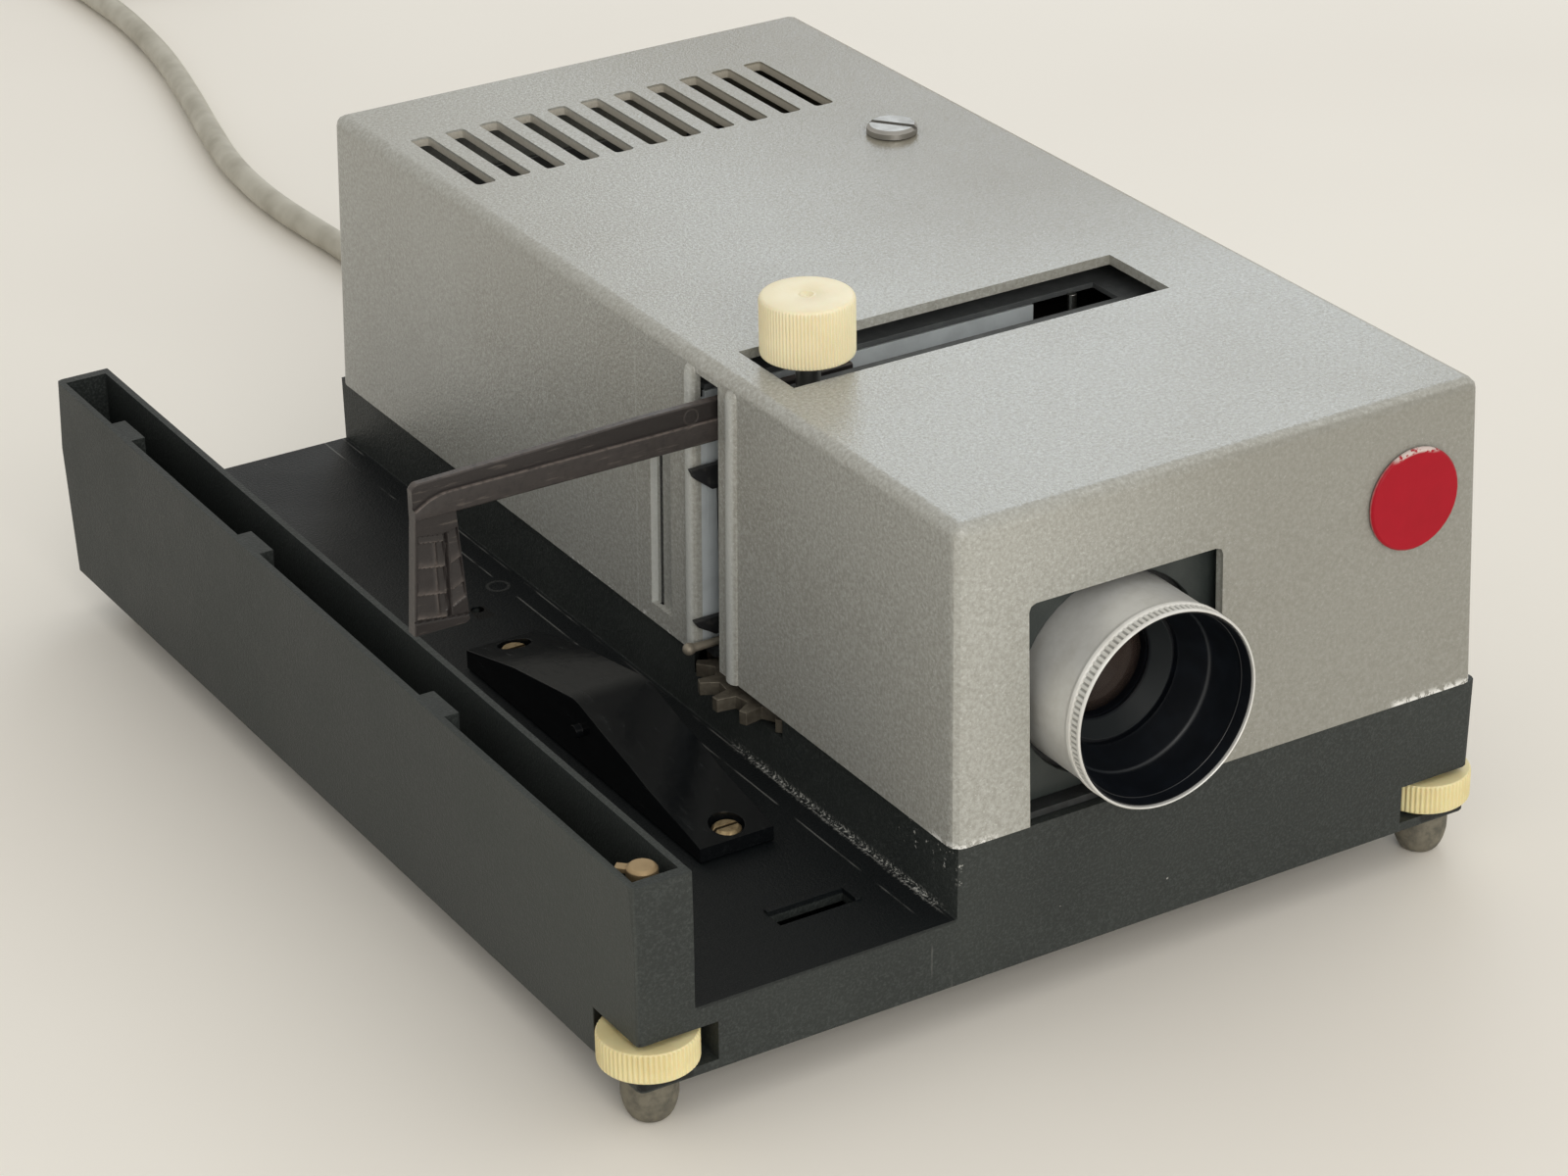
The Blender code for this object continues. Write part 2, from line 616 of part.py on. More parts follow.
def turned(profile, centre, axis="Z", steps=ROUND_STEPS, bm=None):
    """A turned body about an axis through centre.

    The profile is a loop of (radius, height) points, or (radius, height, flute) where
    every second step round the body is drawn in by the flute. Points of no radius lie
    on the axis and close the body there.
    """
    bm = bm or bmesh.new()
    order = {"X": (2, 0, 1), "Y": (0, 2, 1), "Z": (0, 1, 2)}[axis]
    rings = []
    for point in profile:
        radius, height = point[0], point[1]
        flute = point[2] if len(point) > 2 else 0.0
        count = steps if radius > 0 else 1
        ring = []
        for i in range(count):
            angle = math.tau * i / steps
            reach = radius - (flute if i % 2 else 0.0)
            local = (reach * math.cos(angle), reach * math.sin(angle), height)
            ring.append(bm.verts.new(Vector(centre) + Vector(local[k] for k in order)))
        rings.append(ring)
    for first, second in zip(rings, rings[1:] + rings[:1]):
        if len(first) == 1 and len(second) == 1:
            continue
        for i in range(steps):
            j = (i + 1) % steps
            if len(first) == 1:
                bm.faces.new((first[0], second[i], second[j]))
            elif len(second) == 1:
                bm.faces.new((first[i], second[0], first[j]))
            else:
                bm.faces.new((first[i], second[i], second[j], first[j]))
    return bm


def rod(radius, start, end, centre, axis="Z", steps=ROUND_STEPS, bm=None):
    """A plain round rod along an axis, between two heights measured from centre."""
    return turned(((0, start), (radius, start), (radius, end), (0, end)), centre, axis, steps, bm)


def tube(outer, inner, start, end, centre, axis="Z", steps=ROUND_STEPS, bm=None):
    """A plain round tube along an axis."""
    profile = ((inner, start), (outer, start), (outer, end), (inner, end))
    return turned(profile, centre, axis, steps, bm)


def glass_profile(radius, thickness, bulge, start):
    """Half the section of a lens with two curved faces, from one pole to the other."""
    near, far = [], []
    for share in (0.0, 0.4, 0.75, 1.0):
        sag = bulge * share * share
        near.append((radius * share, start + sag))
        far.append((radius * share, start + thickness - sag))
    return near + far[::-1]


def rounded(low, high, corner):
    """A rectangle's outline with each corner cut by three points of its round."""
    middles = ((high[0] - corner, high[1] - corner, 0), (low[0] + corner, high[1] - corner, 90),
               (low[0] + corner, low[1] + corner, 180), (high[0] - corner, low[1] + corner, 270))
    outline = []
    for x, y, start in middles:
        for step in (0, 45, 90):
            angle = math.radians(start + step)
            outline.append((x + corner * math.cos(angle), y + corner * math.sin(angle)))
    return outline


def air_slots(low, high):
    """Cutters for the row of air slots below the lamp, between two heights."""
    bm = bmesh.new()
    for i in range(AIR_SLOT_COUNT):
        x = OPTIC_X + (i - (AIR_SLOT_COUNT - 1) / 2) * AIR_SLOT_PITCH
        start = LAMP_Y + SOCKET_DEPTH
        box((x - AIR_SLOT_WIDTH / 2, start, low),
            (x + AIR_SLOT_WIDTH / 2, start + AIR_SLOT_LENGTH / 2, high), bm)
        box((x - AIR_SLOT_WIDTH / 2, start - SOCKET_DEPTH * 2 - AIR_SLOT_LENGTH / 3, low),
            (x + AIR_SLOT_WIDTH / 2, start - SOCKET_DEPTH * 2, high), bm)
    return bm


def low_cavity_outline(inset):
    """The plan of the hollow below the tray, which goes round the two front pockets."""
    left = BASE_LEFT + BASE_WALL + inset
    right = BASE_RIGHT - BASE_WALL - inset
    front = BASE_FRONT + BASE_WALL + inset
    back = BASE_BACK - BASE_WALL - inset
    pocket = POCKET_SIDE + POCKET_WALL + inset
    pocket_left = BASE_LEFT + pocket
    pocket_right = BASE_RIGHT - pocket
    pocket_back = BASE_FRONT + pocket
    return ((pocket_left, front), (pocket_right, front), (pocket_right, pocket_back),
            (right, pocket_back), (right, back), (left, back), (left, pocket_back),
            (pocket_left, pocket_back))


def base_form():
    """The base casting before it is hollowed: one section drawn from front to back."""
    inset = BASE_DRAFT_SHARE * BASE_HEIGHT
    section = ((BASE_LEFT + inset, BASE_BOTTOM), (BASE_RIGHT - inset, BASE_BOTTOM),
               (BASE_RIGHT, SEAT_Z), (STEP_X, SEAT_Z), (STEP_X, TRAY_Z),
               (CHANNEL_LEFT, TRAY_Z), (CHANNEL_LEFT, SEAT_Z), (CHANNEL_LEFT, WALL_TOP),
               (BASE_LEFT, WALL_TOP), (BASE_LEFT, SEAT_Z))
    bm = bmesh.new()
    rings = []
    for end, inward in ((BASE_FRONT, 1), (BASE_BACK, -1)):
        ring = []
        for x, z in section:
            y = end + inward * BASE_DRAFT_SHARE * max(SEAT_Z - z, 0)
            fall = WALL_FALL if z == WALL_TOP and inward == 1 else 0
            ring.append(bm.verts.new((x, y, z - fall)))
        rings.append(ring)
    for ring in rings:
        bm.faces.new(ring[:7] + ring[9:])
        bm.faces.new(ring[6:])
    for i in range(len(section)):
        j = (i + 1) % len(section)
        bm.faces.new((rings[0][i], rings[0][j], rings[1][j], rings[1][i]))
    corners = [(ring[a], ring[b]) for ring in rings for a, b in ((0, 9), (9, 8), (1, 2))]
    edges = [bm.edges.get(pair) for pair in corners]
    bmesh.ops.bevel(bm, geom=edges, offset=BASE_CORNER, segments=2, profile=0.5,
                    affect="EDGES")
    return bm


def build_base():
    """The dark base casting with its channel, hollow wall, pockets, bosses and ledge."""
    base = make("base_tray", base_form(), "base_paint")
    cut(base, prism(low_cavity_outline(0), BASE_BOTTOM - OVERRUN, HOLLOW_BOTTOM), "hollow")
    right_hollow = box((STEP_X + BASE_WALL, BASE_FRONT + BASE_WALL, HOLLOW_BOTTOM - GAP),
                       (BASE_RIGHT - BASE_WALL, BASE_BACK - BASE_WALL, LEDGE_Z))
    cut(base, right_hollow, "right_hollow")
    opening = box((STEP_X + LEDGE_WIDTH, BASE_FRONT + LEDGE_WIDTH, LEDGE_Z - GAP),
                  (BASE_RIGHT - LEDGE_WIDTH, BASE_BACK - LEDGE_WIDTH, SEAT_Z + OVERRUN))
    cut(base, opening, "ledge_opening")
    wall_hollow = box(
        (BASE_LEFT + HOLLOW_SKIN, BASE_FRONT + HOLLOW_END, TRAY_Z + HOLLOW_FLOOR),
        (CHANNEL_LEFT - HOLLOW_SKIN, BASE_BACK - HOLLOW_END, WALL_TOP + OVERRUN))
    cut(base, wall_hollow, "wall_hollow")
    tabs = bmesh.new()
    for share in TAB_PLACE_SHARES:
        middle = BASE_FRONT + share * (BASE_BACK - BASE_FRONT)
        tab_top = WALL_TOP - WALL_FALL * (1 - share) - TAB_DROP
        box((BASE_LEFT + HOLLOW_SKIN / 2, middle - TAB_LENGTH / 2, tab_top - TAB_HEIGHT),
            (BASE_LEFT + HOLLOW_SKIN + TAB_THICKNESS, middle + TAB_LENGTH / 2, tab_top), tabs)
    join(base, tabs, "tabs")
    bosses = bmesh.new()
    for x, y in BOSS_PLACES:
        top = HOLLOW_BOTTOM if x < STEP_X else LEDGE_Z
        rod(BOSS_RADIUS, PLATE_TOP + GAP, top + GAP, (x, y, 0), steps=12, bm=bosses)
    join(base, bosses, "bosses")
    slot_left = CHANNEL_LEFT + SLOT_FROM_WALL
    slot_front = BASE_FRONT + SLOT_FROM_FRONT
    rim = prism(((slot_left, slot_front + SLOT_DEPTH),
                 (slot_left + SLOT_WIDTH, slot_front + SLOT_DEPTH),
                 (slot_left + SLOT_WIDTH, slot_front),
                 (slot_left + SLOT_WIDTH + SLOT_RIM, slot_front),
                 (slot_left + SLOT_WIDTH + SLOT_RIM, slot_front + SLOT_DEPTH + SLOT_RIM),
                 (slot_left, slot_front + SLOT_DEPTH + SLOT_RIM)),
                TRAY_Z - GAP, TRAY_Z + SLOT_RIM_RISE)
    join(base, rim, "slot_rim")
    cut(base, box((slot_left, slot_front, HOLLOW_BOTTOM - OVERRUN),
                  (slot_left + SLOT_WIDTH, slot_front + SLOT_DEPTH, TRAY_Z + OVERRUN)), "slot")
    for side, (x, y) in zip(("left", "right"), FOOT_PLACES):
        outer = math.copysign(BASE_RIGHT + OVERRUN, x)
        inner = math.copysign(BASE_RIGHT - POCKET_SIDE, x)
        cut(base, box((min(outer, inner), BASE_FRONT - OVERRUN, POCKET_BOTTOM),
                      (max(outer, inner), BASE_FRONT + POCKET_SIDE, POCKET_TOP)),
            side + "_pocket")
    holes = bmesh.new()
    for x, y in FOOT_PLACES:
        rod(SPINDLE_RADIUS + RUNNING_FIT, BASE_BOTTOM - OVERRUN, TRAY_Z + OVERRUN, (x, y, 0),
            bm=holes)
    for x, y in BOSS_PLACES:
        rod(SCREW_RADIUS + GAP, BASE_BOTTOM, PLATE_TOP + BOTTOM_SCREW_LENGTH, (x, y, 0),
            steps=12, bm=holes)
    for x, y in CHASSIS_SCREW_PLACES:
        rod(SCREW_RADIUS + GAP, LEDGE_Z - OVERRUN / 2, SEAT_Z + OVERRUN, (x, y, 0), steps=12,
            bm=holes)
    for x, y in RAMP_SCREW_PLACES:
        rod(BRASS_SHANK_RADIUS + GAP, HOLLOW_BOTTOM - OVERRUN, TRAY_Z + OVERRUN, (x, y, 0),
            steps=12, bm=holes)
    rod(FLOOR_HOLE_RADIUS, HOLLOW_BOTTOM - OVERRUN, TRAY_Z + OVERRUN,
        (STEP_X - FLOOR_HOLE_FROM_STEP, BASE_FRONT + FLOOR_HOLE_FROM_FRONT, 0), steps=16,
        bm=holes)
    cut(base, holes, "holes")
    pocket = rod(STAR_RADIUS + STAR_CLEARANCE,
                 SEAT_Z - STAR_DROP - STAR_THICKNESS - STAR_CLEARANCE, SEAT_Z + OVERRUN,
                 (KNOB_X, KNOB_Y, 0), steps=FINE_STEPS)
    cut(base, pocket, "star_pocket")
    cut(base, rod(GLAND_NECK_RADIUS + GAP, -BASE_WALL - OVERRUN, OVERRUN,
                  (GLAND_X, GLAND_Y, GLAND_Z), "Y", 20), "gland_hole")


def build_bottom():
    """The sheet that closes the base below, its screws and the rear feet."""
    plate = make("bottom_plate", prism(low_cavity_outline(GAP), PLATE_Z, PLATE_TOP),
                 "black_paint")
    holes = bmesh.new()
    for x, y in BOSS_PLACES:
        rod(SCREW_RADIUS + GAP, PLATE_Z - OVERRUN, PLATE_TOP + OVERRUN, (x, y, 0), steps=12,
            bm=holes)
    for x, y in REAR_FOOT_PLACES:
        rod(REAR_FOOT_STEM_RADIUS + GAP, PLATE_Z - OVERRUN, PLATE_TOP + OVERRUN, (x, y, 0),
            steps=16, bm=holes)
    cut(plate, holes, "holes")
    cut(plate, air_slots(PLATE_Z - OVERRUN, PLATE_TOP + OVERRUN), "air_slots")
    head = PLATE_Z - GAP
    for side, (x, y) in zip(("left", "right"), BOSS_PLACES):
        profile = ((0, head - SCREW_HEAD_THICKNESS),
                   (SCREW_HEAD_RADIUS, head - SCREW_HEAD_THICKNESS), (SCREW_HEAD_RADIUS, head),
                   (SCREW_RADIUS, head), (SCREW_RADIUS, head + BOTTOM_SCREW_LENGTH),
                   (0, head + BOTTOM_SCREW_LENGTH))
        make(side + "_bottom_screw", turned(profile, (x, y, 0), steps=12), "plain_steel", True)
    cap = PLATE_TOP + GAP
    for side, (x, y) in zip(("left", "right"), REAR_FOOT_PLACES):
        profile = ((0, 0), (PAD_TIP_RADIUS, 0), (PAD_RADIUS, PLATE_Z - GAP - PAD_SHOULDER_DROP),
                   (PAD_RADIUS, PLATE_Z - GAP), (REAR_FOOT_STEM_RADIUS, PLATE_Z - GAP),
                   (REAR_FOOT_STEM_RADIUS, cap), (REAR_FOOT_CAP_RADIUS, cap),
                   (REAR_FOOT_STEM_RADIUS, cap + REAR_FOOT_CAP_HEIGHT),
                   (0, cap + REAR_FOOT_CAP_HEIGHT))
        make(side + "_rear_foot", turned(profile, (x, y, 0), steps=HIDDEN_STEPS), "rubber",
             True)


def build_front_foot(side, x, y):
    """One levelling foot: thumb wheel in its pocket, threaded spindle and rubber pad."""
    low = POCKET_BOTTOM + WHEEL_LIFT
    top = low + WHEEL_THICKNESS
    bore = SPINDLE_RADIUS + RUNNING_FIT
    wheel = turned(((bore, POCKET_BOTTOM + GAP), (HUB_RADIUS, POCKET_BOTTOM + GAP),
                    (HUB_RADIUS, low), (WHEEL_RADIUS - WHEEL_EDGE, low),
                    (WHEEL_RADIUS, low + WHEEL_EDGE, RIB_DEPTH),
                    (WHEEL_RADIUS, top - WHEEL_EDGE, RIB_DEPTH),
                    (WHEEL_RADIUS - WHEEL_EDGE, top), (HUB_RADIUS, top),
                    (HUB_RADIUS, POCKET_TOP - GAP), (bore, POCKET_TOP - GAP)),
                   (0, 0, 0), steps=WHEEL_RIBS * 2)
    wheel_piece = make(side + "_foot_wheel", wheel, "cream_plastic", True)
    wheel_piece.location = (x, y, 0)
    rise = SEAT_Z + SPINDLE_TOP_RISE if side == "left" else LEDGE_Z - GAP
    head = rise - SPINDLE_HEAD_THICKNESS
    bottom = PAD_BORE_FLOOR + GAP
    spindle = turned(((0, bottom), (SPINDLE_RADIUS, bottom), (SPINDLE_RADIUS, head),
                      (SPINDLE_HEAD_RADIUS, head), (SPINDLE_HEAD_RADIUS, rise - WHEEL_EDGE),
                      (SPINDLE_HEAD_RADIUS - WHEEL_EDGE, rise), (0, rise)), (0, 0, 0))
    spindle_piece = make(side + "_foot_spindle", spindle, "brass", True)
    spindle_piece.location = (x, y, 0)
    angle = SPINDLE_LUG_ANGLE
    along = Vector((math.cos(angle), math.sin(angle)))
    across = Vector((-math.sin(angle), math.cos(angle))) * SPINDLE_LUG_WIDTH / 2
    tip = along * SPINDLE_LUG_REACH
    lug = prism((across, -across, tip - across, tip + across), head + WHEEL_EDGE,
                rise - WHEEL_EDGE)
    join(spindle_piece, lug, "lug")
    spindle_piece.modifiers["lug"].object.location = (x, y, 0)
    pad_top = BASE_BOTTOM - GAP
    pad = turned(((0, 0), (PAD_TIP_RADIUS - PAD_EDGE, 0), (PAD_TIP_RADIUS, PAD_EDGE),
                  (PAD_RADIUS, pad_top - PAD_SHOULDER_DROP), (PAD_RADIUS, pad_top - PAD_EDGE),
                  (PAD_RADIUS - PAD_EDGE, pad_top), (SPINDLE_RADIUS + GAP, pad_top),
                  (SPINDLE_RADIUS + GAP, PAD_BORE_FLOOR), (0, PAD_BORE_FLOOR)), (0, 0, 0),
                 steps=HIDDEN_STEPS)
    pad_piece = make(side + "_foot_pad", pad, "rubber", True)
    pad_piece.location = (x, y, 0)


def shell_form(inset, top, edge):
    """The shell's drafted box, drawn in by inset, with its top edges and corners rounded."""
    bm = bmesh.new()
    low = SEAT_Z + GAP if inset == 0 else SEAT_Z - OVERRUN
    rings = []
    for z in (low, top):
        lean = (z - SEAT_Z) / SHELL_HEIGHT
        left = SHELL_LEFT + inset + SHELL_DRAFT_X * lean
        right = SHELL_RIGHT - inset - SHELL_DRAFT_X * lean
        front = SHELL_FRONT + inset + SHELL_DRAFT_Y * lean
        back = SHELL_BACK - inset - SHELL_DRAFT_Y * lean
        corners = ((left, front), (right, front), (right, back), (left, back))
        rings.append([bm.verts.new((x, y, z)) for x, y in corners])
    bm.faces.new(rings[0])
    bm.faces.new(rings[1])
    for i in range(4):
        bm.faces.new((rings[0][i], rings[0][i - 1], rings[1][i - 1], rings[1][i]))
    if edge:
        edges = [bm.edges.get((rings[1][i], rings[1][i - 1])) for i in range(4)]
        edges += [bm.edges.get((rings[0][i], rings[1][i])) for i in range(4)]
        bmesh.ops.bevel(bm, geom=edges, offset=edge, segments=3, profile=0.5, affect="EDGES")
    return bm


def shell_face_x(z):
    """Where the drafted left face of the shell lies at a height."""
    return SHELL_LEFT + SHELL_DRAFT_X * (z - SEAT_Z) / SHELL_HEIGHT


def bead_form(y, top, bm):
    """A half-round bead up the left face of the shell, closing in towards its top."""
    low = SEAT_Z + GAP
    levels = ((low, 1.0), (top - BEAD_HALF_WIDTH, 1.0), (top - BEAD_RISE / 2, 0.7),
              (top, 0.25))
    rings = []
    for z, share in levels:
        ring = []
        for along, out in BEAD_SHARES:
            reach = BEAD_RISE * share if out > 0 else 2 * BEAD_ROOT
            ring.append(bm.verts.new((shell_face_x(z) - out * reach,
                                      y + along * BEAD_HALF_WIDTH * (share + 1) / 2, z)))
        rings.append(ring)
    bm.faces.new(rings[0])
    bm.faces.new(rings[-1])
    count = len(BEAD_SHARES)
    for lower, upper in zip(rings, rings[1:]):
        for i in range(count):
            bm.faces.new((lower[i], lower[i - 1], upper[i - 1], upper[i]))


def build_shell():
    """The painted cover with its openings, beads, groove and vents."""
    shell = make("top_shell", shell_form(0, SHELL_TOP, SHELL_EDGE), "shell_paint")
    cut(shell, shell_form(SHELL_WALL, SHELL_TOP - SHELL_WALL, 0), "inside")
    opening_y = SHELL_FRONT + SIDE_OPENING_FROM_FRONT
    opening_back = opening_y + SIDE_OPENING_DEPTH
    opening_top = SHELL_TOP - SIDE_OPENING_DROP
    beads = bmesh.new()
    bead_top = SHELL_TOP - BEAD_TOP_DROP
    bead_form(opening_y - BEAD_SETBACK - BEAD_HALF_WIDTH, bead_top, beads)
    bead_form(opening_back + BEAD_HALF_WIDTH, bead_top, beads)
    join(shell, beads, "beads")
    cut(shell, box((SHELL_LEFT - OVERRUN, opening_y, SEAT_Z - OVERRUN),
                   (SHELL_LEFT + SHELL_WALL + OVERRUN, opening_back, opening_top)),
        "side_opening")
    cut(shell, box((SHELL_LEFT - OVERRUN, opening_back - GAP, SEAT_Z - OVERRUN),
                   (SHELL_LEFT + SHELL_WALL + OVERRUN, opening_back + SIDE_NOTCH_DEPTH,
                    SEAT_Z + SIDE_NOTCH_HEIGHT)), "side_notch")
    inner_x = SHELL_LEFT + SHELL_WALL + SHELL_DRAFT_X
    relief = prism(((shell_face_x(SEAT_Z) + JAMB_THICKNESS, SEAT_Z - OVERRUN),
                    (inner_x, SEAT_Z - OVERRUN), (inner_x, opening_top),
                    (shell_face_x(opening_top) + JAMB_THICKNESS, opening_top)),
                   opening_back - GAP, opening_back + JAMB_DEPTH, "Y")
    cut(shell, relief, "jamb_relief")
    low = SEAT_Z + GROOVE_LOW
    high = SHELL_TOP - GROOVE_DROP
    groove = prism(((SHELL_LEFT - OVERRUN, low), (shell_face_x(low) + GROOVE_DEPTH, low),
                    (shell_face_x(high) + GROOVE_DEPTH, high), (SHELL_LEFT - OVERRUN, high)),
                   opening_back + GROOVE_SETBACK,
                   opening_back + GROOVE_SETBACK + GROOVE_WIDTH, "Y")
    cut(shell, groove, "groove")
    notch_outline = rounded((OPTIC_X - NOTCH_HALF_WIDTH, SEAT_Z - OVERRUN),
                            (OPTIC_X + NOTCH_HALF_WIDTH, SEAT_Z + NOTCH_HEIGHT), NOTCH_CORNER)
    cut(shell, prism(notch_outline, SHELL_FRONT - OVERRUN, SHELL_FRONT + SHELL_WALL + OVERRUN,
                     "Y"), "lens_notch")
    opening_left = SHELL_LEFT + TOP_OPENING_FROM_LEFT
    opening_front = SHELL_FRONT + TOP_OPENING_FROM_FRONT
    cut(shell, box((opening_left, opening_front, SHELL_TOP - SHELL_WALL - OVERRUN),
                   (SHELL_RIGHT - TOP_OPENING_FROM_RIGHT, opening_front + TOP_OPENING_DEPTH,
                    SHELL_TOP + OVERRUN)), "top_opening")
    vents = bmesh.new()
    vent_front = SHELL_FRONT + VENT_FROM_FRONT
    for i in range(VENT_COUNT):
        x = SHELL_LEFT + VENT_FROM_LEFT + i * VENT_PITCH
        outline = rounded((x - VENT_WIDTH / 2, vent_front),
                          (x + VENT_WIDTH / 2, vent_front + VENT_LENGTH), VENT_CORNER)
        prism(outline, SHELL_TOP - SHELL_WALL - OVERRUN, SHELL_TOP + OVERRUN, bm=vents)
    cut(shell, vents, "vents")
    cut(shell, rod(COVER_SHANK_RADIUS + GAP, SHELL_TOP - SHELL_WALL - OVERRUN,
                   SHELL_TOP + OVERRUN, (COVER_X, COVER_Y, 0), steps=20), "screw_hole")
    cut(shell, box((SWITCH_X - SWITCH_WIDTH / 2 - GAP, SHELL_BACK - SHELL_WALL - OVERRUN,
                    SWITCH_Z - SWITCH_HEIGHT / 2 - GAP),
                   (SWITCH_X + SWITCH_WIDTH / 2 + GAP, SHELL_BACK + OVERRUN,
                    SWITCH_Z + SWITCH_HEIGHT / 2 + GAP)), "switch_hole")


def build_badge_and_cover_screw():
    """The round badge on the front, the slotted cover screw and the post that takes it."""
    badge = make("front_badge", turned(
        ((0, 0), (BADGE_RADIUS, 0), (BADGE_RADIUS, -BADGE_THICKNESS / 2),
         (BADGE_RADIUS - BADGE_THICKNESS / 2, -BADGE_THICKNESS), (0, -BADGE_THICKNESS)),
        (0, 0, 0), "Y", FINE_STEPS), "badge_red", True)
    face_y = SHELL_FRONT + SHELL_DRAFT_Y * BADGE_RISE / SHELL_HEIGHT
    badge.location = (SHELL_RIGHT - BADGE_FROM_RIGHT, face_y - GAP, SEAT_Z + BADGE_RISE)
    badge.rotation_euler = (-math.atan(SHELL_DRAFT_Y / SHELL_HEIGHT), 0, 0)
    head = SHELL_TOP + GAP
    screw = make("cover_screw", turned(
        ((0, head - COVER_SHANK_LENGTH), (COVER_SHANK_RADIUS, head - COVER_SHANK_LENGTH),
         (COVER_SHANK_RADIUS, head), (COVER_HEAD_RADIUS, head),
         (COVER_HEAD_RADIUS, head + COVER_HEAD_THICKNESS - COVER_HEAD_CHAMFER),
         (COVER_HEAD_RADIUS - COVER_HEAD_CHAMFER, head + COVER_HEAD_THICKNESS),
         (0, head + COVER_HEAD_THICKNESS)), (COVER_X, COVER_Y, 0)), "bright_metal", True)
    slot = box((-COVER_HEAD_RADIUS - OVERRUN, -COVER_SLOT_WIDTH / 2,
                head + COVER_HEAD_THICKNESS - COVER_SLOT_DEPTH),
               (COVER_HEAD_RADIUS + OVERRUN, COVER_SLOT_WIDTH / 2,
                head + COVER_HEAD_THICKNESS + OVERRUN))
    cut(screw, slot, "slot")
    guide = screw.modifiers["slot"].object
    guide.location = (COVER_X, COVER_Y, 0)
    guide.rotation_euler = (0, 0, COVER_SLOT_ANGLE)
    post_top = SHELL_TOP - SHELL_WALL - GAP
    bore_floor = head - COVER_SHANK_LENGTH - GAP
    bore = COVER_SHANK_RADIUS + GAP
    make("cover_post", turned(
        ((0, CHASSIS_TOP + GAP), (POST_RADIUS, CHASSIS_TOP + GAP), (POST_RADIUS, post_top),
         (bore, post_top), (bore, bore_floor), (0, bore_floor)), (COVER_X, COVER_Y, 0),
        steps=20), "plain_steel", True)


def build_chassis():
    """The plate on the base's ledge that carries the works, and its screws."""
    plate = make("chassis_plate", box((CHASSIS_LEFT, CHASSIS_FRONT, CHASSIS_Z),
                                      (CHASSIS_RIGHT, CHASSIS_BACK, CHASSIS_TOP)),
                 "sheet_metal")
    holes = bmesh.new()
    for x, y in CHASSIS_SCREW_PLACES:
        rod(SCREW_RADIUS + GAP, CHASSIS_Z - OVERRUN, CHASSIS_TOP + OVERRUN, (x, y, 0),
            steps=12, bm=holes)
    rod(SHAFT_RADIUS + RUNNING_FIT + BUSH_WALL + GAP, CHASSIS_Z - OVERRUN,
        CHASSIS_TOP + OVERRUN, (KNOB_X, KNOB_Y, 0), steps=ROUND_STEPS, bm=holes)
    cut(plate, holes, "holes")
    cut(plate, air_slots(CHASSIS_Z - OVERRUN, CHASSIS_TOP + OVERRUN), "air_slots")
    cut(plate, box((CHASSIS_LEFT - OVERRUN, SLIDE_Y - SLIDE_PATH_WIDTH / 2,
                    CHASSIS_Z - OVERRUN),
                   (SHELL_LEFT + SLIDE_SLOT_RIGHT, SLIDE_Y + SLIDE_PATH_WIDTH / 2,
                    CHASSIS_TOP + OVERRUN)), "slide_slot")
    head = CHASSIS_TOP + GAP
    for side, (x, y) in zip(("left", "right"), CHASSIS_SCREW_PLACES):
        profile = ((0, head - CHASSIS_SCREW_LENGTH), (SCREW_RADIUS, head - CHASSIS_SCREW_LENGTH),
                   (SCREW_RADIUS, head), (SCREW_HEAD_RADIUS, head),
                   (SCREW_HEAD_RADIUS, head + SCREW_HEAD_THICKNESS),
                   (0, head + SCREW_HEAD_THICKNESS))
        make(side + "_chassis_screw", turned(profile, (x, y, 0), steps=12), "plain_steel", True)


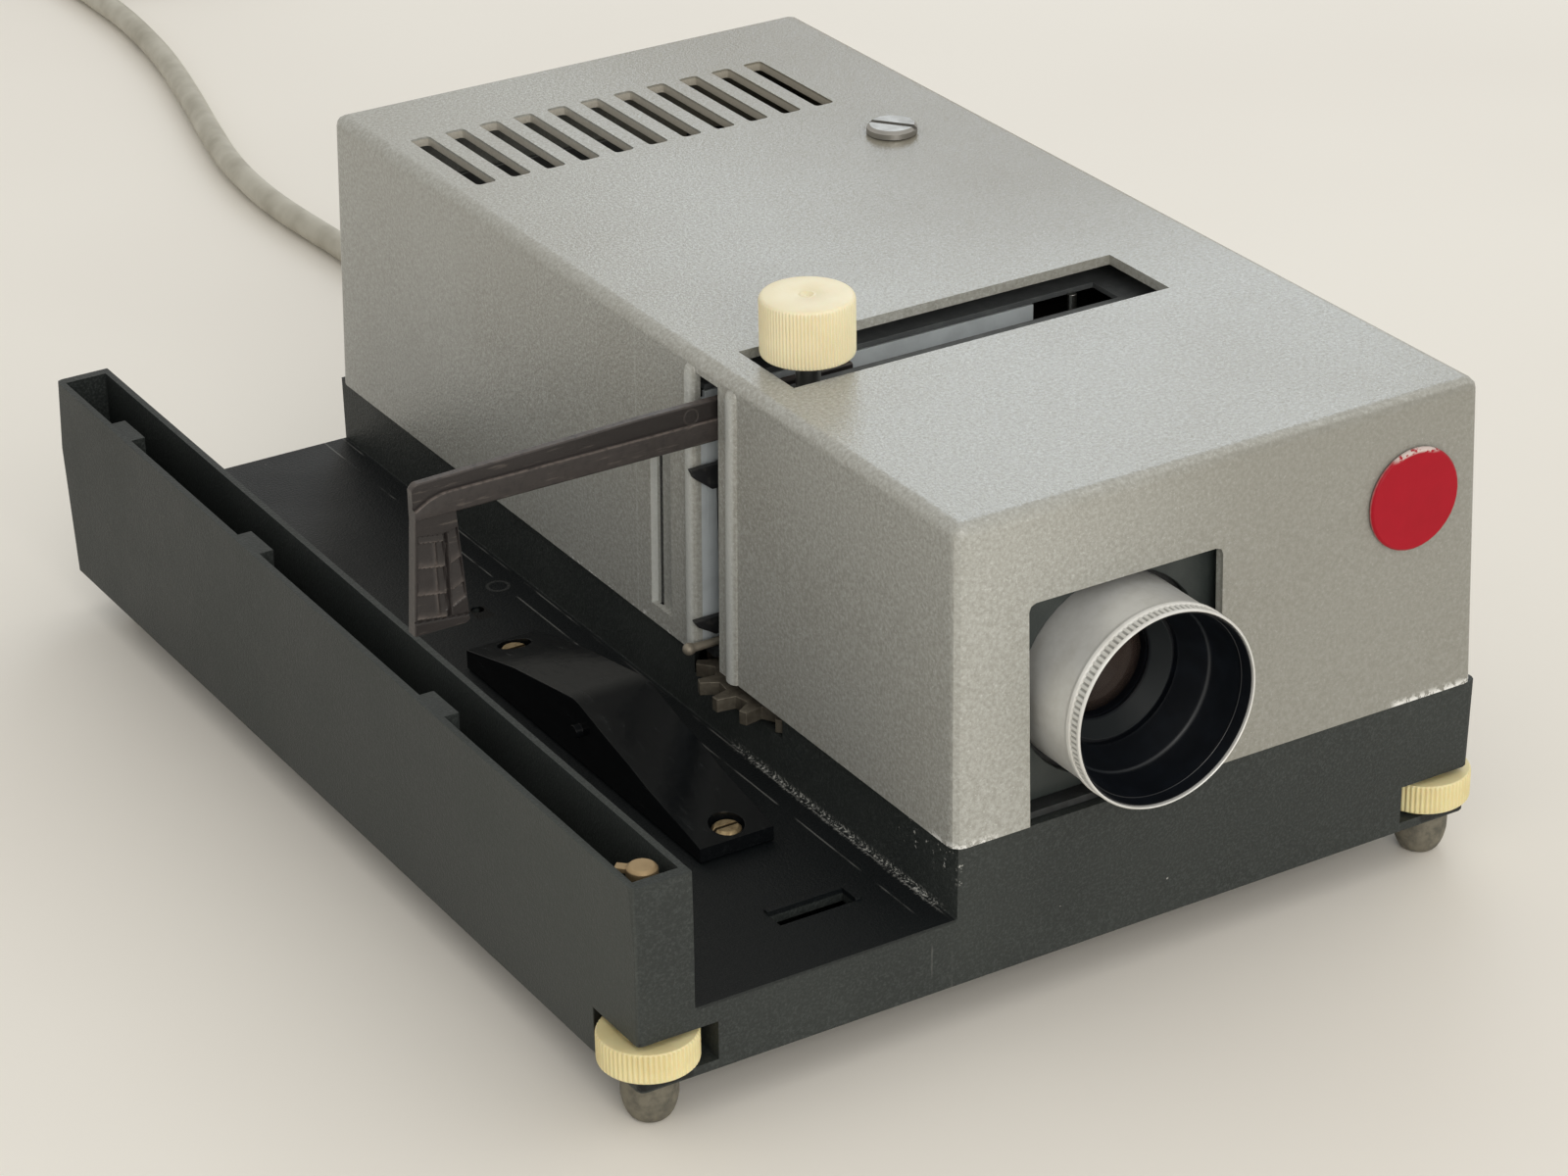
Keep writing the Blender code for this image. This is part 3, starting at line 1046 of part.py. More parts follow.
def build_lens():
    """The lens panel with its sleeve, the turning barrel and hood, and the glass cell."""
    centre = (OPTIC_X, 0, OPTIC_Z)
    panel_y = SHELL_FRONT + PANEL_SETBACK
    panel_back = panel_y + PANEL_THICKNESS
    panel = make("lens_panel", box(
        (OPTIC_X - PANEL_HALF_WIDTH, panel_y, CHASSIS_TOP + GAP),
        (OPTIC_X + PANEL_HALF_WIDTH, panel_back, OPTIC_Z + PANEL_RISE)), "black_paint")
    cut(panel, rod(PANEL_HOLE_RADIUS, panel_y - OVERRUN, panel_back + OVERRUN, centre, "Y",
                   LENS_STEPS), "hole")
    bore = BARREL_RADIUS + RUNNING_FIT
    sleeve_y = panel_back + GAP
    make("lens_sleeve", turned(
        ((bore, sleeve_y), (bore + SLEEVE_WALL + SLEEVE_SEAT, sleeve_y),
         (bore + SLEEVE_WALL + SLEEVE_SEAT, sleeve_y + SLEEVE_WALL),
         (bore + SLEEVE_WALL, sleeve_y + SLEEVE_WALL),
         (bore + SLEEVE_WALL, sleeve_y + SLEEVE_LENGTH), (bore, sleeve_y + SLEEVE_LENGTH)),
        centre, "Y", LENS_STEPS), "black_paint", True)
    sleeve = bpy.data.objects["lens_sleeve"]
    cut(sleeve, box((OPTIC_X - PANEL_HALF_WIDTH, sleeve_y - OVERRUN, SEAT_Z - OVERRUN),
                    (OPTIC_X + PANEL_HALF_WIDTH, sleeve_y + SLEEVE_LENGTH,
                     CHASSIS_TOP + GAP)), "flat")
    knurl_start = RIM_Y + RIM_WIDTH
    knurl_end = knurl_start + KNURL_WIDTH
    lip_end = knurl_end + LIP_WIDTH
    barrel_end = RIM_Y + BARREL_LENGTH
    step_y = RIM_Y + BORE_STEP_AT
    outer = ((RIM_RADIUS, RIM_Y), (RIM_RADIUS, knurl_start),
             (KNURL_RADIUS, knurl_start, KNURL_DEPTH), (KNURL_RADIUS, knurl_end, KNURL_DEPTH),
             (LIP_RADIUS, knurl_end), (LIP_RADIUS, lip_end), (BARREL_RADIUS, lip_end),
             (BARREL_RADIUS, barrel_end))
    inner = ((REAR_BORE, barrel_end), (REAR_BORE, step_y), (RIM_BORE, step_y),
             (RIM_BORE, RIM_Y))
    make("lens_barrel", turned(outer + inner, centre, "Y", KNURL_RIBS * 2), "bright_metal",
         True)
    hood_end = HOOD_Y + HOOD_LENGTH
    wide = RIM_BORE - GAP
    narrow = REAR_BORE - GAP
    make("lens_hood", turned(
        ((wide, HOOD_Y), (wide, step_y - GAP), (narrow, step_y - GAP), (narrow, hood_end),
         (HOOD_THROAT_RADIUS, hood_end), (HOOD_THROAT_RADIUS, RIM_Y + HOOD_NECK_AT),
         (HOOD_STEP_RADIUS, RIM_Y + HOOD_NECK_AT), (HOOD_STEP_RADIUS, RIM_Y + HOOD_MID_AT),
         (HOOD_MID_RADIUS, RIM_Y + HOOD_MID_AT), (HOOD_FRONT_RADIUS, HOOD_Y)), centre, "Y",
        FINE_STEPS), "black_paint", True)
    cell_end = CELL_Y + CELL_LENGTH
    front_seat = CELL_Y + FRONT_GLASS_THICKNESS + GLASS_SEAT
    rear_seat = RIM_Y + REAR_GLASS_AT - GLASS_SEAT
    make("lens_cell", turned(
        ((REAR_BORE - RUNNING_FIT, CELL_Y), (REAR_BORE - RUNNING_FIT, cell_end),
         (REAR_GLASS_RADIUS + GAP, cell_end), (REAR_GLASS_RADIUS + GAP, rear_seat),
         (CELL_BORE, rear_seat), (CELL_BORE, front_seat),
         (FRONT_GLASS_RADIUS + GAP, front_seat), (FRONT_GLASS_RADIUS + GAP, CELL_Y)),
        centre, "Y", LENS_STEPS), "black_paint", True)
    make("front_glass", turned(
        glass_profile(FRONT_GLASS_RADIUS, FRONT_GLASS_THICKNESS, FRONT_GLASS_BULGE, CELL_Y),
        centre, "Y", ROUND_STEPS), "glass", True)
    make("rear_glass", turned(
        glass_profile(REAR_GLASS_RADIUS, REAR_GLASS_THICKNESS, REAR_GLASS_BULGE,
                      RIM_Y + REAR_GLASS_AT), centre, "Y", HIDDEN_STEPS), "glass", True)


def build_gate():
    """The two gate plates, the slotted guide on top, the shelf, guides and stop pin."""
    left = SHELL_LEFT + GATE_LEFT
    right = SHELL_LEFT + GATE_RIGHT
    low = CHASSIS_TOP + GAP
    for name, y in (("gate_front_plate", GATE_FRONT_Y), ("gate_rear_plate", GATE_REAR_Y)):
        plate = make(name, box((left, y, low), (right, y + GATE_THICKNESS, GATE_TOP - GAP)),
                     "sheet_metal")
        half = GATE_APERTURE / 2
        cut(plate, box((OPTIC_X - half, y - OVERRUN, OPTIC_Z - half),
                       (OPTIC_X + half, y + GATE_THICKNESS + OVERRUN, OPTIC_Z + half)),
            "aperture")
    slot_front = GATE_FRONT_Y + GATE_THICKNESS
    slot_right = SHELL_RIGHT - GUIDE_SLOT_FROM_RIGHT
    guide_right = SHELL_RIGHT - GUIDE_FROM_RIGHT
    guide = make("changer_guide", prism(
        ((left, SHELL_FRONT + GUIDE_FRONT), (guide_right, SHELL_FRONT + GUIDE_FRONT),
         (guide_right, SHELL_FRONT + GUIDE_BACK), (left, SHELL_FRONT + GUIDE_BACK),
         (left, GATE_REAR_Y), (slot_right, GATE_REAR_Y), (slot_right, slot_front),
         (left, slot_front)), GATE_TOP, GATE_TOP + GUIDE_THICKNESS), "black_paint")
    cut(guide, rod(SHAFT_RADIUS + RUNNING_FIT, GATE_TOP - OVERRUN,
                   GATE_TOP + GUIDE_THICKNESS + OVERRUN, (KNOB_X, KNOB_Y, 0)), "shaft_hole")
    shelf_top = SHELL_TOP - ARM_LOW_DROP - GAP
    make("changer_shelf", box(
        (SHELL_LEFT + SHELF_LEFT, slot_front + GAP, shelf_top - SHELF_THICKNESS),
        (slot_right, GATE_REAR_Y - GAP, shelf_top)), "sheet_metal")
    lug_y = GATE_REAR_Y - GAP
    tip_y = SHELL_FRONT + SIDE_OPENING_FROM_FRONT + SIDE_OPENING_DEPTH - GAP
    tip = SHELL_LEFT - LUG_REACH
    end = tip + LUG_LENGTH
    upper_top = SHELL_TOP - UPPER_LUG_DROP
    lower_low = SEAT_Z + LOWER_LUG_RISE
    levels = ((upper_top - UPPER_LUG_HEIGHT, upper_top), (lower_low, lower_low + LOWER_LUG_HEIGHT))
    guides = make("slide_guides", box((end - LUG_FOOT, tip_y - LUG_THICKNESS / 2, lower_low),
                                      (end, lug_y, upper_top)), "black_plastic")
    for label, (start, stop) in zip(("upper_lug", "lower_lug"), levels):
        outline = [(tip + along * (end - tip), start + up * (stop - start))
                   for along, up in LUG_SHARES]
        join(guides, prism(outline, tip_y - LUG_THICKNESS, tip_y, "Y"), label)
    make("stop_pin", rod(PIN_RADIUS, shelf_top + GAP, GATE_TOP + GUIDE_THICKNESS / 2,
                         (SHELL_RIGHT - PIN_FROM_RIGHT, GATE_REAR_Y - GAP - PIN_RADIUS, 0),
                         steps=12), "plain_steel", True)


def build_changer():
    """The changer arm with its lower rail and its ribbed grip."""
    front = SHELL_FRONT + ARM_FRONT
    back = front + ARM_THICKNESS
    low = SHELL_TOP - ARM_LOW_DROP
    bottom = SEAT_Z + GRIP_BOTTOM
    tail = SHELL_LEFT + ARM_TAIL
    grip = ((SHELL_LEFT - GRIP_TOP_LEFT, low), (SHELL_LEFT - GRIP_LOW_LEFT, bottom),
            (SHELL_LEFT - GRIP_LOW_RIGHT, bottom), (SHELL_LEFT - GRIP_TOP_RIGHT, low))
    outline = ((tail, low), (tail, SHELL_TOP - ARM_RIGHT_DROP),
               (SHELL_LEFT, SHELL_TOP - ARM_RIGHT_DROP),
               (SHELL_LEFT - ARM_REACH, SHELL_TOP - ARM_LEFT_DROP)) + grip
    arm = make("changer_arm", prism(outline, front, back, "Y"), "brown_plastic")
    rail = box((SHELL_LEFT - GRIP_TOP_RIGHT - GRIP_FRAME, front - ARM_RAIL_PROUD, low),
               (tail, front + GAP, low + ARM_RAIL))
    join(arm, rail, "rail")
    pockets = bmesh.new()
    pitch = (low - bottom - GRIP_FRAME) / GRIP_RIBS
    for i in range(GRIP_RIBS):
        start = bottom + GRIP_FRAME + i * pitch
        stop = start + pitch - GRIP_RIB_WIDTH
        outline = []
        for z, side in ((start, 0), (start, 1), (stop, 1), (stop, 0)):
            share = (z - bottom) / (low - bottom)
            x = grip[1 + side][0] * (1 - share) + grip[3 * side][0] * share
            outline.append((x + (GRIP_FRAME if side == 0 else -GRIP_FRAME), z))
        prism(outline, front - OVERRUN, front + GRIP_POCKET_DEPTH, "Y", pockets)
    cut(arm, pockets, "grip_pockets")


def build_index():
    """The ribbed knob, its shaft, the star wheel that steps the magazine, and the bush."""
    low = SHELL_TOP + KNOB_LIFT
    top = low + KNOB_HEIGHT
    bore = SHAFT_RADIUS + GAP
    turn_in = KNOB_EDGE * KNOB_EDGE_SHARE
    knob = make("index_knob", turned(
        ((bore, low), (KNOB_RADIUS, low, RIB_DEPTH), (KNOB_RADIUS, top - KNOB_EDGE, RIB_DEPTH),
         (KNOB_RADIUS - turn_in, top - turn_in), (KNOB_RADIUS - KNOB_EDGE, top),
         (KNOB_DIMPLE_RADIUS, top), (0, top - KNOB_DIMPLE_DEPTH), (0, low + KNOB_BORE_DEPTH),
         (bore, low + KNOB_BORE_DEPTH)), (0, 0, 0), steps=KNOB_RIBS * 2), "cream_plastic", True)
    knob.location = (KNOB_X, KNOB_Y, 0)
    star_top = SEAT_Z - STAR_DROP
    star_low = star_top - STAR_THICKNESS
    shaft = make("index_shaft", rod(SHAFT_RADIUS, star_low - STAR_HUB_LENGTH + GAP,
                                    low + KNOB_BORE_DEPTH - GAP, (0, 0, 0)), "plain_steel", True)
    shaft.location = (KNOB_X, KNOB_Y, 0)
    outline = []
    for tooth in range(STAR_TEETH):
        for along, depth in STAR_TOOTH_SHARES:
            angle = math.tau * (tooth + along) / STAR_TEETH
            reach = STAR_RADIUS + (STAR_ROOT_RADIUS - STAR_RADIUS) * depth
            outline.append((reach * math.cos(angle), reach * math.sin(angle)))
    star = make("star_wheel", prism(outline, star_low, star_top), "zinc")
    star.location = (KNOB_X, KNOB_Y, 0)
    join(star, rod(STAR_HUB_RADIUS, star_low - STAR_HUB_LENGTH, star_low + GAP, (0, 0, 0),
                   steps=24), "hub")
    cut(star, rod(bore, star_low - STAR_HUB_LENGTH - OVERRUN, star_top + OVERRUN, (0, 0, 0)),
        "bore")
    for step in star.modifiers:
        step.object.location = star.location
    bush_bore = SHAFT_RADIUS + RUNNING_FIT
    body = bush_bore + BUSH_WALL
    flange_top = CHASSIS_Z - GAP
    make("index_bush", turned(
        ((bush_bore, flange_top - BUSH_FLANGE_THICKNESS),
         (BUSH_FLANGE_RADIUS, flange_top - BUSH_FLANGE_THICKNESS),
         (BUSH_FLANGE_RADIUS, flange_top), (body, flange_top),
         (body, CHASSIS_TOP + BUSH_RISE), (bush_bore, CHASSIS_TOP + BUSH_RISE)),
        (KNOB_X, KNOB_Y, 0)), "brass", True)


def build_catch():
    """The round-nosed catch that holds the magazine's step, and its guide block."""
    y = SHELL_FRONT + CATCH_FROM_FRONT
    z = SEAT_Z + CATCH_RISE
    tip = SHELL_LEFT - CATCH_REACH
    tail = SHELL_LEFT + CATCH_TAIL
    nose = []
    for angle in (0, 30, 60, 90, 120):
        turn = math.radians(angle)
        nose.append((CATCH_NOSE_RADIUS * math.sin(turn),
                     tip + CATCH_NOSE_RADIUS * (1 - math.cos(turn))))
    neck = tip + 2 * CATCH_NOSE_RADIUS
    make("magazine_catch", turned(tuple(nose) + ((CATCH_RADIUS, neck), (CATCH_RADIUS, tail),
                                                 (0, tail)), (0, y, z), "X", 16),
         "bright_metal", True)
    left = SHELL_LEFT + CATCH_BLOCK_LEFT
    block = make("catch_block", box(
        (left, y - CATCH_BLOCK_HALF / 2, CHASSIS_TOP + GAP),
        (left + CATCH_BLOCK_LENGTH, y + CATCH_BLOCK_HALF - GAP, z + CATCH_BLOCK_HALF)),
        "plain_steel")
    cut(block, rod(CATCH_RADIUS + RUNNING_FIT, left - OVERRUN,
                   left + CATCH_BLOCK_LENGTH + OVERRUN, (0, y, z), "X", 16), "bore")


def build_ramp():
    """The black ramp in the tray that carries the magazine, its screws and its stud."""
    def outline(drop, shares):
        points = [(RAMP_FRONT + a * RAMP_LENGTH, RAMP_Z + b * RAMP_HEIGHT - drop)
                  for a, b in shares]
        return points

    top = outline(0, RAMP_SHARES)
    bottom = [(RAMP_FRONT + RAMP_LENGTH, RAMP_Z), (RAMP_FRONT, RAMP_Z)]
    ramp = make("magazine_ramp", prism(top + bottom, RAMP_LEFT, RAMP_RIGHT, "X"),
                "black_plastic")
    inner = outline(RAMP_WALL, RAMP_SHARES[slice(*RAMP_HOLLOW_SHARES)])
    inner += [(inner[-1][0], RAMP_Z - OVERRUN), (inner[0][0], RAMP_Z - OVERRUN)]
    cut(ramp, prism(inner, RAMP_LEFT + RAMP_WALL, RAMP_RIGHT - RAMP_WALL, "X"), "inside")
    join(ramp, rod(STUD_RADIUS, RAMP_LEFT - STUD_REACH, RAMP_LEFT + RAMP_WALL / 2,
                   (0, RAMP_FRONT + STUD_AT, RAMP_Z + STUD_RISE), "X", 14), "stud")
    holes = bmesh.new()
    seats = bmesh.new()
    for side, (x, y), rise in zip(("front", "rear"), RAMP_SCREW_PLACES, RAMP_SEAT_RISES):
        seat = RAMP_Z + rise
        head = seat + GAP
        top = head + BRASS_HEAD_THICKNESS
        rod(BRASS_SHANK_RADIUS + GAP, RAMP_Z - OVERRUN, seat + OVERRUN, (x, y, 0), steps=12,
            bm=holes)
        rod(RAMP_SEAT_RADIUS, seat, RAMP_Z + RAMP_HEIGHT, (x, y, 0), steps=20, bm=seats)
        profile = ((0, head - BRASS_SHANK_LENGTH),
                   (BRASS_SHANK_RADIUS, head - BRASS_SHANK_LENGTH), (BRASS_SHANK_RADIUS, head),
                   (BRASS_HEAD_RADIUS, head), (BRASS_HEAD_RADIUS, head + BRASS_HEAD_THICKNESS / 2),
                   (BRASS_HEAD_RADIUS - BRASS_HEAD_THICKNESS / 2, top), (0, top))
        screw = make(side + "_ramp_screw", turned(profile, (x, y, 0), steps=20), "brass", True)
        slot = box((x - BRASS_HEAD_RADIUS - GAP, y - BRASS_SLOT_WIDTH / 2,
                    top - BRASS_SLOT_DEPTH),
                   (x + BRASS_HEAD_RADIUS + GAP, y + BRASS_SLOT_WIDTH / 2, top + OVERRUN))
        cut(screw, slot, "slot")
    cut(ramp, seats, "screw_seats")
    cut(ramp, holes, "screw_holes")


def build_light():
    """Condenser, heat filter, lamp house, lamp, socket and mirror along the optic axis."""
    centre = (OPTIC_X, 0, OPTIC_Z)
    bore = CONDENSER_GLASS_RADIUS + GAP
    end = CONDENSER_Y + CONDENSER_LENGTH
    make("condenser_tube", tube(bore + CONDENSER_WALL, bore, CONDENSER_Y, end, centre, "Y",
                                FINE_STEPS), "black_paint", True)
    for name, at in zip(("front_condenser", "rear_condenser"), CONDENSER_GLASS_PLACES):
        make(name, turned(glass_profile(CONDENSER_GLASS_RADIUS, CONDENSER_GLASS_THICKNESS,
                                        CONDENSER_GLASS_BULGE, CONDENSER_Y + at),
                          centre, "Y", HIDDEN_STEPS), "glass", True)
    make("heat_filter", rod(CONDENSER_GLASS_RADIUS, CONDENSER_Y + FILTER_AT,
                            CONDENSER_Y + FILTER_AT + FILTER_THICKNESS, centre, "Y",
                            HIDDEN_STEPS), "glass", True)
    low = CHASSIS_TOP + GAP
    left = OPTIC_X - HOUSE_HALF_WIDTH
    right = OPTIC_X + HOUSE_HALF_WIDTH
    back = HOUSE_Y + HOUSE_LENGTH
    house_top = SHELL_TOP - HOUSE_DROP
    house = make("lamp_house", box((left, HOUSE_Y, low), (right, back, house_top)),
                 "sheet_metal")
    cut(house, box((left + SHEET, HOUSE_Y + SHEET, low - OVERRUN),
                   (right - SHEET, back - SHEET, house_top + OVERRUN)), "inside")
    cut(house, rod(HOUSE_WINDOW_RADIUS, HOUSE_Y - OVERRUN, HOUSE_Y + OVERRUN, centre, "Y",
                   ROUND_STEPS), "window")
    lamp_bottom = OPTIC_Z - LAMP_HEIGHT / 2
    lamp = make("lamp_bulb", turned(
        [(0, lamp_bottom), (LAMP_RADIUS, lamp_bottom)]
        + [(LAMP_RADIUS * a, OPTIC_Z + LAMP_HEIGHT * b) for a, b in LAMP_SHARES],
        (OPTIC_X, LAMP_Y, 0), steps=HIDDEN_STEPS), "glass", True)
    pins = bmesh.new()
    sockets = bmesh.new()
    for side in (-1, 1):
        x = OPTIC_X + side * LAMP_PIN_SPACING / 2
        rod(LAMP_PIN_RADIUS, lamp_bottom - LAMP_PIN_LENGTH, lamp_bottom + LAMP_PIN_RADIUS,
            (x, LAMP_Y, 0), steps=8, bm=pins)
        rod(LAMP_PIN_RADIUS + GAP, lamp_bottom - LAMP_PIN_LENGTH - GAP, lamp_bottom,
            (x, LAMP_Y, 0), steps=8, bm=sockets)
    join(lamp, pins, "pins")
    socket = make("lamp_socket", box(
        (OPTIC_X - SOCKET_WIDTH / 2, LAMP_Y - SOCKET_DEPTH / 2, low),
        (OPTIC_X + SOCKET_WIDTH / 2, LAMP_Y + SOCKET_DEPTH / 2, lamp_bottom - GAP)), "black_paint")
    cut(socket, sockets, "pin_holes")
    mirror_y = LAMP_Y + MIRROR_AT
    near, far = [], []
    for share in MIRROR_SHARES:
        sag = MIRROR_SAG * share * share
        near.append((MIRROR_RADIUS * share, mirror_y - sag))
        far.append((MIRROR_RADIUS * share, mirror_y + MIRROR_WALL - sag))
    mirror = make("lamp_mirror", turned(near + far[::-1], centre, "Y", HIDDEN_STEPS),
                  "bright_metal", True)
    join(mirror, rod(MIRROR_STEM_RADIUS, low, OPTIC_Z - MIRROR_STEM_RADIUS,
                     (OPTIC_X, mirror_y + MIRROR_WALL / 2 + MIRROR_STEM_SET, 0),
                     steps=12), "stem")


def smooth_route(points, spacing):
    """Points at a steady spacing on a smooth curve through the given ones."""
    route = np.array(points)
    padded = np.vstack((2 * route[0] - route[1], route, 2 * route[-1] - route[-2]))
    fine = []
    for i in range(1, len(padded) - 2):
        p0, p1, p2, p3 = padded[i - 1:i + 3]
        for t in np.linspace(0, 1, 12, endpoint=False):
            fine.append(0.5 * (2 * p1 + (p2 - p0) * t + (2 * p0 - 5 * p1 + 4 * p2 - p3) * t ** 2
                               + (3 * p1 - p0 - 3 * p2 + p3) * t ** 3))
    fine = np.array(fine + [route[-1]])
    lengths = np.concatenate(([0], np.cumsum(np.linalg.norm(np.diff(fine, axis=0), axis=1))))
    count = max(2, round(lengths[-1] / spacing)) + 1
    places = np.linspace(0, lengths[-1], count)
    return np.column_stack([np.interp(places, lengths, fine[:, k]) for k in range(3)])


def cable(name, points, radius, kind, sides=2):
    """A round cable along points, with closed ends."""
    curve = bpy.data.curves.new(name, "CURVE")
    curve.dimensions = "3D"
    curve.bevel_depth = radius
    curve.bevel_resolution = sides
    curve.use_fill_caps = True
    spline = curve.splines.new("POLY")
    spline.points.add(len(points) - 1)
    for point, place in zip(spline.points, points):
        point.co = (*place, 1.0)
    piece = bpy.data.objects.new(name, curve)
    bpy.context.collection.objects.link(piece)
    curve.materials.append(own_material(name, kind))
    return piece


def build_power():
    """Transformer, terminal block and the leads that join them to the lamp socket."""
    low = CHASSIS_TOP + GAP
    right = SHELL_RIGHT - SHELL_WALL - CORE_FROM_RIGHT
    condenser_reach = CONDENSER_GLASS_RADIUS + GAP + CONDENSER_WALL
    left = OPTIC_X + condenser_reach + CORE_FROM_CONDENSER
    middle = (left + right) / 2
    limb = (right - left) * CORE_LIMB_SHARE
    side = (right - left) * CORE_SIDE_SHARE
    front = SHELL_FRONT + CORE_FROM_FRONT
    back = front + CORE_DEPTH
    top = low + CORE_HEIGHT
    core = make("transformer_core", box((left, front, low), (right, back, top)), "plain_steel")
    windows = bmesh.new()
    box((left + side, front - OVERRUN, low + CORE_YOKE),
        (middle - limb / 2, back + OVERRUN, top - CORE_YOKE), windows)
    box((middle + limb / 2, front - OVERRUN, low + CORE_YOKE),
        (right - side, back + OVERRUN, top - CORE_YOKE), windows)
    cut(core, windows, "windows")
    winding_low = low + CORE_YOKE + GAP
    winding_top = top - CORE_YOKE - GAP
    winding = make("transformer_winding", box(
        (left + side + GAP, front - COIL_OVERHANG, winding_low),
        (right - side - GAP, back + COIL_OVERHANG, winding_top)), "copper")
    cut(winding, box((middle - limb / 2 - GAP, front - GAP, winding_low - OVERRUN),
                     (middle + limb / 2 + GAP, back + GAP, winding_top + OVERRUN)), "limb")
    block_back = SHELL_BACK - BLOCK_FROM_BACK
    block = make("terminal_block", box(
        (GLAND_X, block_back - BLOCK_DEPTH, low),
        (GLAND_X + BLOCK_LENGTH, block_back, low + BLOCK_HEIGHT)), "cream_plastic")
    pits = bmesh.new()
    for i in range(BLOCK_SCREWS):
        x = GLAND_X + BLOCK_LENGTH / 2 + (i - (BLOCK_SCREWS - 1) / 2) * BLOCK_SCREW_PITCH
        rod(SCREW_RADIUS, low + BLOCK_HEIGHT / 2, low + BLOCK_HEIGHT + OVERRUN,
            (x, block_back - BLOCK_DEPTH / 2, 0), steps=10, bm=pits)
    cut(block, pits, "screw_pits")
    wire_z = low + 3 * WIRE_RADIUS
    house_right = OPTIC_X + HOUSE_HALF_WIDTH
    lane = (house_right + COVER_X - POST_RADIUS) / 2
    block_front = block_back - BLOCK_DEPTH
    entry_x = GLAND_X + BLOCK_LENGTH * LEAD_ENTRY_SHARE
    entry_z = low + BLOCK_HEIGHT * LEAD_ENTRY_SHARE
    start = np.array((middle, back + COIL_OVERHANG + GAP, wire_z + WIRE_SPACING))
    room = block_front - start[1]
    lead = (start, start + (0, WIRE_SPACING, 0),
            (lane, start[1] + room * LEAD_SHARES[0], wire_z),
            (lane, start[1] + room * LEAD_SHARES[1], wire_z),
            (entry_x, block_front - WIRE_SPACING, entry_z),
            (entry_x, block_front - GAP, entry_z))
    cable("primary_lead", smooth_route(lead, WIRE_SPACING), WIRE_RADIUS, "rubber")


def build_switch():
    """The mains switch in the shell's back: housing and rocker."""
    half_x = SWITCH_WIDTH / 2
    half_z = SWITCH_HEIGHT / 2
    face = SWITCH_Y + GAP + SHELL_DRAFT_Y * (half_z + SWITCH_FLANGE) / SHELL_HEIGHT
    housing = make("switch_housing", box(
        (SWITCH_X - half_x, face - SWITCH_DEPTH, SWITCH_Z - half_z),
        (SWITCH_X + half_x, face + GAP, SWITCH_Z + half_z)), "black_plastic")
    flange = box((SWITCH_X - half_x - SWITCH_FLANGE, face, SWITCH_Z - half_z - SWITCH_FLANGE),
                 (SWITCH_X + half_x + SWITCH_FLANGE, face + SWITCH_FLANGE_THICKNESS,
                  SWITCH_Z + half_z + SWITCH_FLANGE))
    join(housing, flange, "flange")
    outside = face + SWITCH_FLANGE_THICKNESS
    cut(housing, box((SWITCH_X - half_x + SWITCH_WALL, outside - ROCKER_DEPTH - ROCKER_PIN_IN,
                      SWITCH_Z - half_z + SWITCH_WALL),
                     (SWITCH_X + half_x - SWITCH_WALL, outside + OVERRUN,
                      SWITCH_Z + half_z - SWITCH_WALL)), "well")
    pin_y = outside - ROCKER_PIN_IN
    cut(housing, rod(ROCKER_PIN_RADIUS + RUNNING_FIT, -half_x - OVERRUN, half_x + OVERRUN,
                     (SWITCH_X, pin_y, SWITCH_Z), "X", 16), "pin_bore")
    rocker_half = half_z - SWITCH_WALL - ROCKER_END_GAP
    inner_y = -(ROCKER_DEPTH - ROCKER_PIN_IN)
    outer_y = ROCKER_PIN_IN + ROCKER_PROUD
    base_half = rocker_half * ROCKER_BASE_SHARE
    outline = ((inner_y, -base_half), (inner_y, base_half),
               (outer_y + ROCKER_BEND, rocker_half), (outer_y, 0),
               (outer_y - ROCKER_BEND, -rocker_half))
    rocker = make("switch_rocker", prism(outline, -half_x + SWITCH_WALL + GAP,
                                         half_x - SWITCH_WALL - GAP, "X"), "black_plastic")
    join(rocker, rod(ROCKER_PIN_RADIUS, -half_x + GAP, half_x - GAP, (0, 0, 0), "X", 16), "pins")
    rocker.location = (SWITCH_X, pin_y, SWITCH_Z)
    rocker.modifiers["pins"].object.location = rocker.location


def build_gland():
    """The strain relief in the base's back wall; the end of its tail is returned."""
    centre = (GLAND_X, 0, GLAND_Z)
    flange = GLAND_Y + GAP
    tail = flange + GLAND_FLANGE_THICKNESS
    tip = tail + GLAND_TAIL_LENGTH
    inner = GLAND_Y - BASE_WALL - GLAND_INNER_LENGTH
    make("cord_gland", turned(
        ((0, inner), (GLAND_NECK_RADIUS, inner), (GLAND_NECK_RADIUS, flange),
         (GLAND_FLANGE_RADIUS, flange), (GLAND_FLANGE_RADIUS, tail),
         (GLAND_NECK_RADIUS, tail), (GLAND_TIP_RADIUS, tip), (0, tip)), centre, "Y", 20),
        "rubber", True)
    return np.array((GLAND_X, tip + GAP, GLAND_Z))


